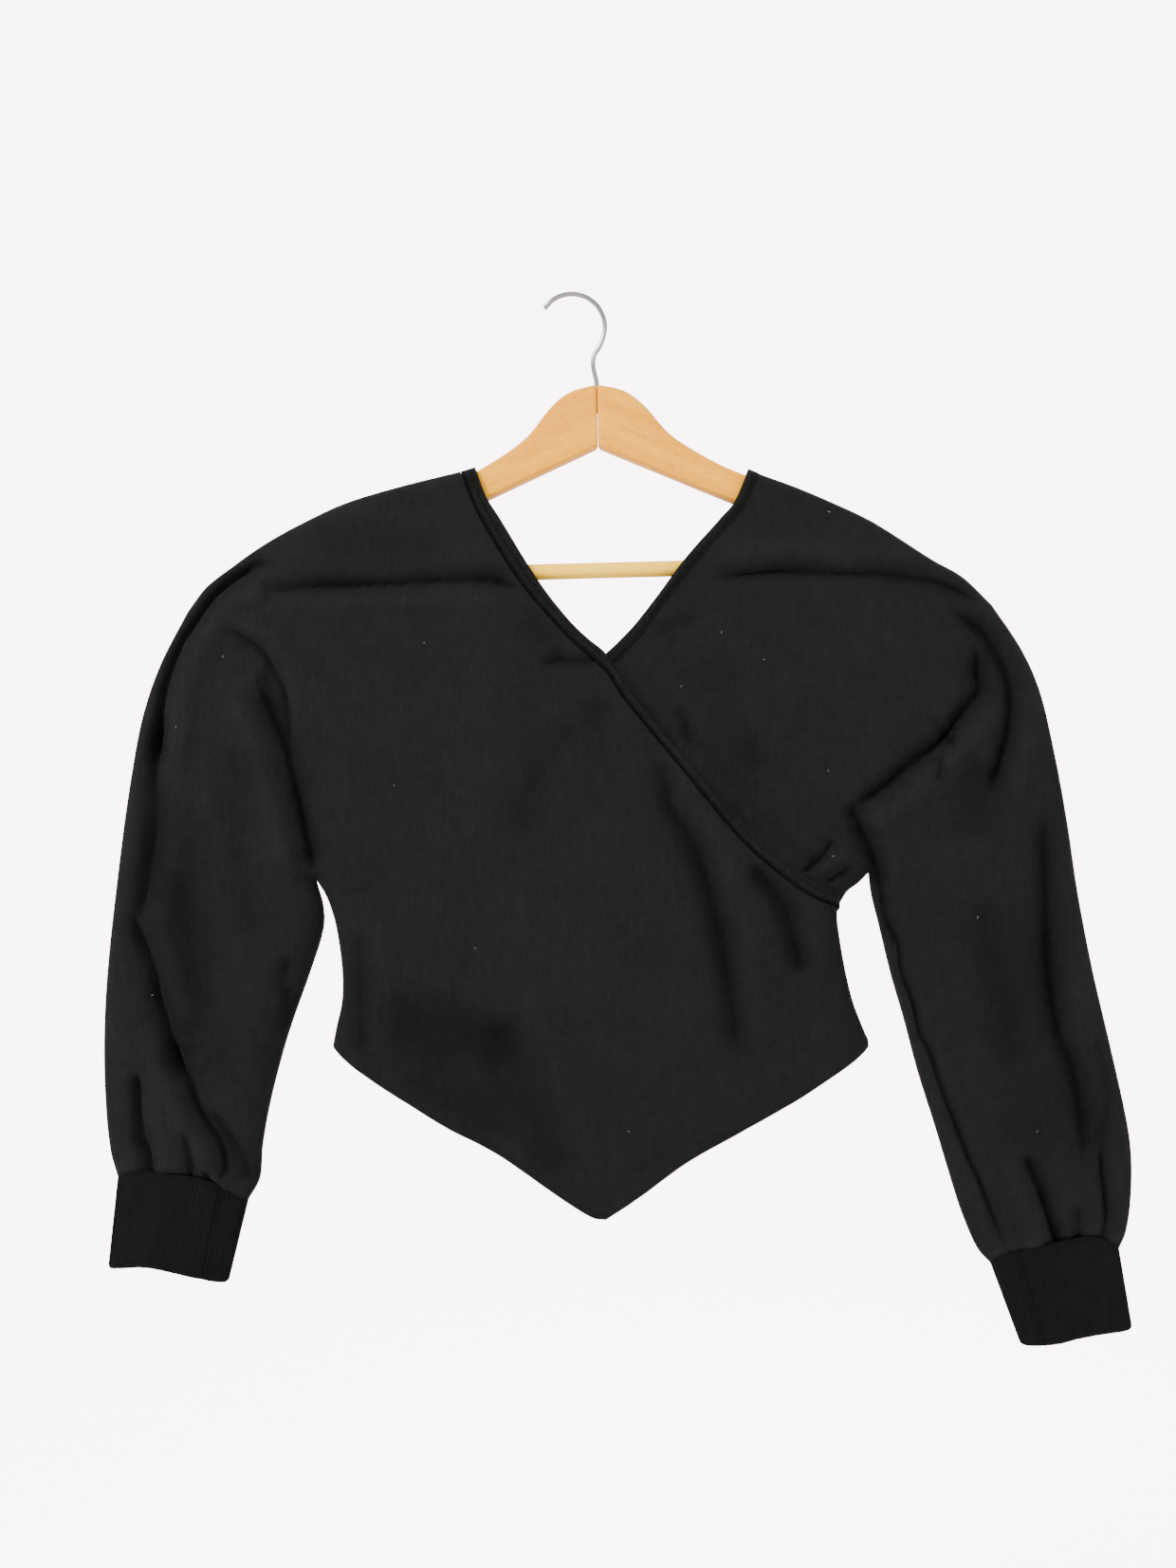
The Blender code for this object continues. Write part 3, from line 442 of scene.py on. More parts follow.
# The cloth keeps this far out over the hanger's arms and over its bar, on each side of their lines
ARM_SPINES = [[(-203, -197), (-150, -167), (-90, -138), (-30, -106), (16, -84)],
              [(232, -191), (182, -163), (122, -134), (62, -102), (16, -84)]]
BAR_SPINE = [(-183, -190), (216, -180)]
OVER_ARM, OVER_BAR = (13.0, 9.3), (6.0, 7.5)
CLEAR_FADE = 9.0
# Slow waves in the cloth: how many, shortest and longest, height of each
WAVES = [(14, 34, 95, 0.24), (16, 11, 26, 0.045)]
# Stations of the back's nets
BACK_SLEEVE_ALONG, BACK_ACROSS = 96, 72
BACK_HALF, BACK_BELOW = 66, 52
BACK_CROWD = 1.1  # how much the neck edge draws its stations up to the shoulder
BACK_SEED = 40
SAME_PLACE = 0.02
# The stitching draws the turned-up hem in along its rows and puckers it a little
HEM_MIDDLE, HEM_WIDE, HEM_PULL, HEM_THICK = 14.5, 1.8, 0.55, 0.35
HEM_PUCKER, PUCKER_LONG, PUCKER_MIDDLE, PUCKER_WIDE = 0.18, 7.5, 12, 7
CLOTH_ROUND = math.radians(60)  # edges blunter than this are shaded smooth


def smooth(share):
    """A soft step from 0 to 1."""
    t = np.clip(share, 0.0, 1.0)
    return t * t * (3.0 - 2.0 * t)


def beside(places, line):
    """Distance from each place to a dense line, the side (1 = left), and the share along it."""
    a, b = line[:-1], line[1:]
    step = b - a
    length = np.linalg.norm(step, axis=1)
    rel = places[:, None, :] - a[None]
    t = np.clip((rel * step).sum(2) / length**2, 0.0, 1.0)
    gap = rel - t[..., None] * step
    reach = np.linalg.norm(gap, axis=2)
    best = reach.argmin(axis=1)
    rows = np.arange(len(places))
    near = rel[rows, best]
    side = np.sign(step[best, 0] * near[:, 1] - step[best, 1] * near[:, 0])
    run = np.concatenate([[0], np.cumsum(length)])
    share = (run[best] + t[rows, best] * length[best]) / run[-1]
    return reach[rows, best], side, share


def spread(count, dense_start=True, dense_end=True):
    """Shares from 0 to 1, closer together at the chosen ends."""
    t = np.linspace(0, 1, count)
    if dense_start and dense_end:
        bent = 0.5 - 0.5 * np.cos(math.pi * t)
    elif dense_start:
        bent = 1 - np.cos(0.5 * math.pi * t)
    elif dense_end:
        bent = np.sin(0.5 * math.pi * t)
    else:
        bent = t
    return 0.5 * bent + 0.5 * t


def net(top, bottom, left, right, shares_along, shares_across, crowd=1.0):
    """A net of places between four border lines, first index along, second across."""
    u = np.asarray(shares_along)[:, None, None]
    v = np.asarray(shares_across)[None, :, None]
    t = along(top, shares_along)[:, None]
    b = along(bottom, shares_along)[:, None]
    s = along(left, shares_across)[None]
    e = along(right, np.asarray(shares_across) ** crowd)[None]
    corners = ((1 - u) * (1 - v) * t[0] + u * (1 - v) * t[-1]
               + (1 - u) * v * b[0] + u * v * b[-1])
    return (1 - v) * t + v * b + (1 - u) * s + u * e - corners


def rise_at(share, rises):
    """The smooth curve through a cuff's rises, at these shares of the way across it."""
    line = through(rises)
    return np.interp(share, line[:, 0], line[:, 1])


def seam_line(outer, inner, rises, part=1.0):
    """The seam of a sleeve and its cuff, from one closed edge over the front or back to the other."""
    share = spread(SEAM_STATIONS)
    return [(outer[0] + (inner[0] - outer[0]) * s, outer[1] + (inner[1] - outer[1]) * s + part * rise)
            for s, rise in zip(share, rise_at(share, rises))]


def form_at(places):
    """Half depth and rounding of the cloth at each place."""
    z, depth, rounding = np.array(BODY_FORM, float)[::-1].T
    d = np.interp(places[:, 1], z, depth)
    w = np.interp(places[:, 1], z, rounding)
    for outer, inner in ((OUTER_L[0], INNER_L[0]), (OUTER_R[0], INNER_R[0])):
        half = 0.5 * math.dist(outer, inner)
        away = beside(places, np.array([outer, inner], float))[0]
        near = 1.0 - smooth(away / CUFF_BLEND)
        d += near * (CUFF_DEPTH - d)
        w += near * (half - w)
    return d, w


def uneven(share, seed, least=0.72, most=1.18):
    """A slow change along a run, as no crease is equally deep all the way."""
    chance = np.random.default_rng(seed)
    wave = sum(np.sin(2 * math.pi * (share * turns + chance.random()))
               for turns in (0.9, 1.7, 3.1)) / 3
    return (least + most) / 2 + wave * (most - least) / 2


def waves(places, seed):
    """Slow swells of the cloth between its creases."""
    chance = np.random.default_rng(seed)
    raised = np.zeros(len(places))
    for count, shortest, longest, height in WAVES:
        for _ in range(count):
            heading = chance.uniform(0, math.pi)
            turn = 2 * math.pi / chance.uniform(shortest, longest)
            across = places @ np.array([math.cos(heading), math.sin(heading)])
            raised += height * np.sin(turn * across + chance.uniform(0, 2 * math.pi))
    return raised


def gathers(places, seam, seed):
    """Short tucks that run up the sleeve from its cuff's seam, and the puff of cloth over it."""
    chance = np.random.default_rng(seed)
    wide = math.dist(seam[0], seam[-1])
    away, _, share = beside(places, np.array(seam))
    sunk = SEAM_PUFF * smooth(away / PUFF_START) * np.exp(-((away / PUFF_HIGH) ** 2))
    sunk -= SEAM_PULL * np.exp(-((away / SEAM_WIDE) ** 2))
    for at in (np.arange(GATHERS) + 0.5) / GATHERS:
        at += chance.uniform(-GATHER_STRAY, GATHER_STRAY) / GATHERS
        long, broad = chance.uniform(*GATHER_LONG), chance.uniform(*GATHER_WIDE)
        deep, lean = chance.uniform(*GATHER_DEEP), chance.uniform(-GATHER_LEAN, GATHER_LEAN)
        off = (share - at) * wide - lean * away
        sunk -= deep * np.exp(-((off / broad) ** 2)) * np.exp(-away / long * GATHER_FADE)
    return sunk * (1 - smooth(away / GATHER_REACH))


def hem_form(places):
    """How far the turned-up hem stands out or is drawn in at each place."""
    hem = np.vstack([through(HEM_L), through(HEM_R)[1:]])
    length = np.linalg.norm(np.diff(hem, axis=0), axis=1).sum()
    up, _, share = beside(places, hem)
    pull = np.exp(-(((up - HEM_MIDDLE) / HEM_WIDE) ** 2))
    turns = 2 * math.pi * share * length / PUCKER_LONG
    pucker = HEM_PUCKER * np.sin(turns + 1.7 * np.sin(turns * 0.37))
    pucker *= np.exp(-((up - PUCKER_MIDDLE) / PUCKER_WIDE) ** 2)
    return HEM_THICK * (1 - smooth((up - HEM_MIDDLE + 2) / 4)) - HEM_PULL * pull + pucker


def crease(places, creases, seed):
    """What the creases do at each place: how far they move it, where it lies in a cleft, and the shade
    and light painted there.
    """
    moved = np.zeros(len(places))
    off = np.full(len(places), CLEFT_NEAR)
    deep = np.zeros(len(places))
    shade = np.zeros(len(places))
    for number, (_, trough, sink, cleft, cut, lip, lip_side, run) in enumerate(creases):
        line = through(run)
        near = np.flatnonzero(((places > line.min(axis=0) - NEAR)
                               & (places < line.max(axis=0) + NEAR)).all(axis=1))
        if not len(near):
            continue
        away, side, share = beside(places[near], line)
        ends = ROUND_END * trough / np.linalg.norm(np.diff(line, axis=0), axis=1).sum()
        fade = smooth(share / max(FADE_IN, ends)) * smooth((1 - share) / max(FADE_OUT, ends))
        breadth = (uneven(share, seed + number + BROAD_SEED, LEAST_BROAD, MOST_BROAD)
                   * (BROAD_END + (1 - BROAD_END) * np.sqrt(fade)))
        fade = fade * uneven(share, seed + number) * (1 - smooth((away - NEAR * 0.5) / (NEAR * 0.5)))
        across = away * side * lip_side / (trough * breadth)
        crisp = np.where(side == lip_side, CRISP, SOFT)
        narrow = away * side / (cleft * breadth * crisp)
        moved[near] -= sink * fade * np.exp(-(across**2))
        moved[near] -= cut * fade * np.exp(-(narrow**2))
        ridge = np.exp(-(((across - LIP_AT) / LIP_WIDE) ** 2))
        moved[near] += lip * fade * ridge
        # Painted shade in the trough and painted light on the lip; below, the cleft's painted shade
        shade[near] += fade * (LIP_LIGHT * lip * ridge - TROUGH_DARK * sink * np.exp(-(across**2)))
        here = fade * min(cut / FULL_CUT, 1.0) * (1 - smooth(np.abs(narrow) / CLEFT_NEAR))
        wins = here > deep[near]
        off[near[wins]] = narrow[wins]
        deep[near[wins]] = here[wins]
    return moved, off, deep, np.clip(shade, -MOST_SHADE, MOST_SHADE)


def least_depth(places):
    """How far out the cloth has to stay where the hanger's wood lies inside it."""
    least = np.zeros(len(places))
    for spines, (reach, depth) in ((ARM_SPINES, OVER_ARM), ([BAR_SPINE], OVER_BAR)):
        for spine in spines:
            away = beside(places, np.array(spine, float))[0]
            least = np.maximum(least, depth * (1 - smooth((away - reach) / CLEAR_FADE)))
    return least


def outer_face(places, creases, edge, inset, seed, part=1.0):
    """How far a panel's outer face lies from the middle plane, where it lies in a cleft, and the shade
    and light painted there.
    """
    depth, rounding = form_at(places)
    rise = np.clip(edge / (rounding - inset), 0.0, 1.0)
    moved, off, deep, shade = crease(places, creases, seed)
    moved += waves(places, seed) + hem_form(places)
    for outer, inner, rises, more in ((OUTER_L[0], INNER_L[0], SEAM_RISE_L, 1),
                                      (OUTER_R[0], INNER_R[0], SEAM_RISE_R, 2)):
        tucks = gathers(places, seam_line(outer, inner, rises, part), seed + more)
        moved += tucks
        # Painted shade in the tucks, painted light on the puff above the seam
        shade += GATHER_SHADE * tucks
    moved *= smooth(edge / FOLD_EDGE)
    moved += DEEPER_WITHIN * np.minimum(moved, 0.0) * inset / UNDERLAP
    held = np.maximum(depth - inset + moved, least_depth(places))
    return held * np.sqrt(1.0 - (1.0 - rise) ** 2), off, deep, shade


def flat_net(blocks, facing):
    """The blocks joined into one flat mesh on the middle plane, its faces looking forward or back."""
    work = bmesh.new()
    for block in blocks:
        rows = [[work.verts.new((x * MM, 0, z * MM)) for x, z in row] for row in block]
        for upper, lower in zip(rows, rows[1:]):
            for a, b, c, d in zip(upper, upper[1:], lower[1:], lower):
                work.faces.new((a, b, c, d))
    bmesh.ops.remove_doubles(work, verts=work.verts, dist=SAME_PLACE * MM)
    bmesh.ops.recalc_face_normals(work, faces=work.faces)
    work.faces.ensure_lookup_table()
    if work.faces[0].normal.y * facing < 0:
        bmesh.ops.reverse_faces(work, faces=work.faces)
    return work


def edge_distance(places, seam_lines):
    return np.min([beside(places, through(line))[0] for line in seam_lines], axis=0)


def places_of(mesh):
    points = np.empty(len(mesh.vertices) * 3)
    mesh.vertices.foreach_get("co", points)
    return points.reshape(-1, 3)[:, [0, 2]] / MM


def in_scene(name, data):
    """A new object of this mesh, light or camera."""
    made = bpy.data.objects.new(name, data)
    bpy.context.scene.collection.objects.link(made)
    return made


def alone(obj):
    """Selects this object and nothing else."""
    nothing_selected()
    obj.select_set(True)
    bpy.context.view_layer.objects.active = obj


def add_cloth(name, work, thickness, cloth, shape, node):
    """A wall of cloth from its flat net: lifted to its shape, thickened inwards, and finished.

    The shape gives each place's depth from the middle plane, signed along Y, and the values of the shade
    painted into its creases.
    """
    mesh = bpy.data.meshes.new(name)
    work.to_mesh(mesh)
    work.free()
    places = places_of(mesh)
    depth, *lies = shape(places)
    points = np.column_stack([places[:, 0], depth, places[:, 1]]) * MM
    mesh.vertices.foreach_set("co", points.ravel())
    # The painted crease shade goes onto the mesh as attributes
    for attribute, values in zip(PAINTED_SHADE_VALUES, lies):
        mesh.attributes.new(attribute, "FLOAT", "POINT").data.foreach_set(
            "value", values.astype(np.float32))
    mesh.materials.append(cloth)
    mesh.update()
    obj = in_scene(name, mesh)
    alone(obj)
    wall = obj.modifiers.new("cloth wall", "SOLIDIFY")
    wall.thickness = thickness * MM
    wall.offset = -1
    bpy.ops.object.modifier_apply(modifier=wall.name)
    bpy.ops.object.shade_smooth_by_angle(angle=CLOTH_ROUND)
    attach(obj, "root")
    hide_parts(node)
    return obj


def knitted():
    """A group: stitches in upright wales, a fuzz of fibre ends over them, slow changes of tone, and the
    shade painted into the creases from the mesh's attributes.
    """
    tree = bpy.data.node_groups.new("knitted", "ShaderNodeTree")
    for way, names in (("INPUT", ("Wale", "Course")),
                       ("OUTPUT", ("Height", "Tone", "Cleft Shade", "Shade"))):
        for name in names:
            tree.interface.new_socket(name, in_out=way, socket_type="NodeSocketFloat")
    given = add_node(tree, "NodeGroupInput").outputs
    place = add_node(tree, "ShaderNodeTexCoord").outputs["Object"]
    parts = add_node(tree, "ShaderNodeSeparateXYZ", {"Vector": place}).outputs
    sideways = maths(tree, "ADD", parts["X"],
                     maths(tree, "MULTIPLY", noise(tree, place, 70.0), 0.004))
    wale = maths(tree, "FRACT", maths(tree, "DIVIDE", sideways, given["Wale"]))
    from_middle = maths(tree, "ABSOLUTE", maths(tree, "SUBTRACT", wale, 0.5))
    slanted = maths(tree, "ADD", maths(tree, "DIVIDE", parts["Z"], given["Course"]), from_middle)
    loops = maths(tree, "COSINE", maths(tree, "MULTIPLY", slanted, 2 * math.pi))
    rounded = maths(tree, "SUBTRACT", 1.0, maths(tree, "MULTIPLY", from_middle, 2.0))
    stitch = maths(tree, "MULTIPLY", maths(tree, "ADD", maths(tree, "MULTIPLY", loops, 0.35), 0.65),
                   maths(tree, "SQRT", rounded))
    fuzz = noise(tree, place, 420.0, 5.0, 0.7)
    drawn = add_node(tree, "ShaderNodeVectorMath", {
        0: place, 1: (520.0, 90.0, 60.0)}, operation="MULTIPLY").outputs[0]
    streak = noise(tree, drawn, 1.0, 3.0)
    clouds = noise(tree, place, 19.0, 4.0, 0.55)
    height = maths(tree, "ADD", maths(tree, "MULTIPLY", stitch, 0.22),
                   maths(tree, "ADD", maths(tree, "MULTIPLY", fuzz, 0.55),
                         maths(tree, "MULTIPLY", streak, 0.16)))
    tone = maths(tree, "ADD", maths(tree, "MULTIPLY", clouds, 0.22),
                 maths(tree, "ADD", maths(tree, "MULTIPLY", fuzz, 0.48),
                       maths(tree, "MULTIPLY", streak, 0.3)))
    # The painted shade of the creases, read from the mesh: a cleft's darkening, and the trough and lip
    # shade
    off, deep, shade = (
        add_node(tree, "ShaderNodeAttribute", attribute_name=name).outputs["Fac"]
        for name in PAINTED_SHADE_VALUES)
    cleft = maths(tree, "MULTIPLY", deep, maths(
        tree, "EXPONENT", maths(tree, "MULTIPLY", maths(tree, "MULTIPLY", off, off), -1.0)))
    add_node(tree, "NodeGroupOutput", {
        "Height": height, "Tone": tone, "Cleft Shade": cleft, "Shade": maths(tree, "ADD", shade, 1.0)})
    return tree


KNITTED = knitted()


def cotton(name, low, high, wale, course, raised, sheen):
    """Black cotton between two tones, its stitches this wide and high in metres, with shade and light
    painted over its creases.
    """
    made, tree, shader = new_material(name, {
        "Roughness": 0.95, "Specular IOR Level": 0.05, "Sheen Weight": sheen,
        "Sheen Roughness": 0.55, "Sheen Tint": (0.50, 0.50, 0.48, 1)})
    group = add_node(tree, "ShaderNodeGroup", node_tree=KNITTED)
    group.inputs["Wale"].default_value = wale
    group.inputs["Course"].default_value = course
    body = mixed(tree, ranged(tree, group.outputs["Tone"], 0.36, 0.64), (*low, 1), (*high, 1))
    # Painted shade and light scale the tone, and the clefts are painted towards near black
    formed = add_node(tree, "ShaderNodeVectorMath", {
        0: body, "Scale": group.outputs["Shade"]}, operation="SCALE")
    shaded = mixed(tree, maths(tree, "MULTIPLY", group.outputs["Cleft Shade"], CLEFT_SHADED),
                   formed.outputs[0], PAINTED_CLEFT_SHADE)
    tree.links.new(shaded, shader.inputs["Base Color"])
    raise_by(tree, shader, group.outputs["Height"], 0.8, raised)
    return made


DEEPER_WITHIN = 0.35  # the hidden front's creases sink this much further
UNDERLAP = WALL + 2.5  # how far the hidden front lies inside the outer one
knit = cotton("black_knit", (0.0047, 0.0049, 0.0044), (0.0078, 0.0081, 0.0073),
              0.0011, 0.0008, 0.0004, 0.02)

across = spread(BACK_ACROSS)
below = spread(BACK_BELOW, False, False)
inward = spread(BACK_HALF)
blocks = []
for outer, inner, rises, armhole, shoulder, side, hem, cloth_edge in (
    (OUTER_L, INNER_L, SEAM_RISE_L, ARMHOLE_L, SHOULDER_L, SIDE_L, HEM_L, BACK_CLOTH_L),
    (OUTER_R, INNER_R, SEAM_RISE_R, ARMHOLE_R, SHOULDER_R, SIDE_R, HEM_R[::-1], BACK_CLOTH_R),
):
    blocks.append(net(outer, inner, seam_line(outer[0], inner[0], rises, RISE_BEHIND), armhole,
                      spread(BACK_SLEEVE_ALONG, False, False), across))
    blocks.append(net(shoulder, [side[0], BACK_CLOTH_L[-1]], armhole, cloth_edge, inward, across,
                      BACK_CROWD))
    blocks.append(net([side[0], BACK_CLOTH_L[-1]], hem, side, [BACK_CLOTH_L[-1], HEM_L[-1]],
                      inward, below))
back_seams = [OUTER_L, INNER_L, SHOULDER_L, SIDE_L, OUTER_R, INNER_R, SHOULDER_R, SIDE_R]


def back_shape(places):
    return outer_face(places, BACK_CREASES, edge_distance(places, back_seams),
                      np.zeros(len(places)), BACK_SEED, RISE_BEHIND)


back = add_cloth("back_knit", flat_net(blocks, 1), WALL, knit, back_shape, "back")

# ---------------------------------------------------------------------------------------- Fronts
# Two pieces of the same knit, each cut with its sleeve. The right one lies inside and the left one
# crosses over it, so that their neck edges make the V and the outer one runs on to the right side.

FRONT_SEED = 7
SLEEVE_ALONG, ACROSS = 148, 106  # stations of the fronts' nets
BODY_HALF, BELOW = 82, 66
CROWD = 1.35
LAYER_STEP = 3.0  # the hidden front's hem ends this much higher
TUCK_START, TUCK_OVER = 9.5, 10.0  # clear of the neckband it comes forward, over this width
PUFF_R = [(193, -396), (186.5, -400.5), (181, -405), (176, -411)]  # the inner front's side there
OVER_CLOTH = [(-75, -118.5), (-66, -142), (-55, -163), (-33, -197), (-6, -228), (11, -244),
              (24, -256), (35, -273), (72, -318), (104, -357), (120, -374), (134, -386),
              (148, -397), (163, -406), (181, -413)]
OVER_FREE = [(-65, -115.5), (-57, -137), (-47, -153), (-23, -192), (-3, -218), (11, -232),
             (21, -240), (26, -247), (47, -276), (81, -318), (112, -352), (128, -369),
             (143, -383), (156, -391), (170, -399), (181, -405)]
UNDER_CLOTH = [(126, -119.5), (116, -143), (106, -156), (83, -182), (63, -208), (48, -229),
               (35, -243), (17, -261), (-9, -290), (-41, -329), (-73, -361), (-106, -389),
               (-138, -410), (-157, -424)]
UNDER_FREE = [(119, -116.5), (109, -140), (99, -152), (76, -178), (56, -205), (41, -224),
              (29, -236), (12, -252), (-15, -281), (-47, -320), (-79, -352), (-111, -379),
              (-143, -400), (-160, -412)]
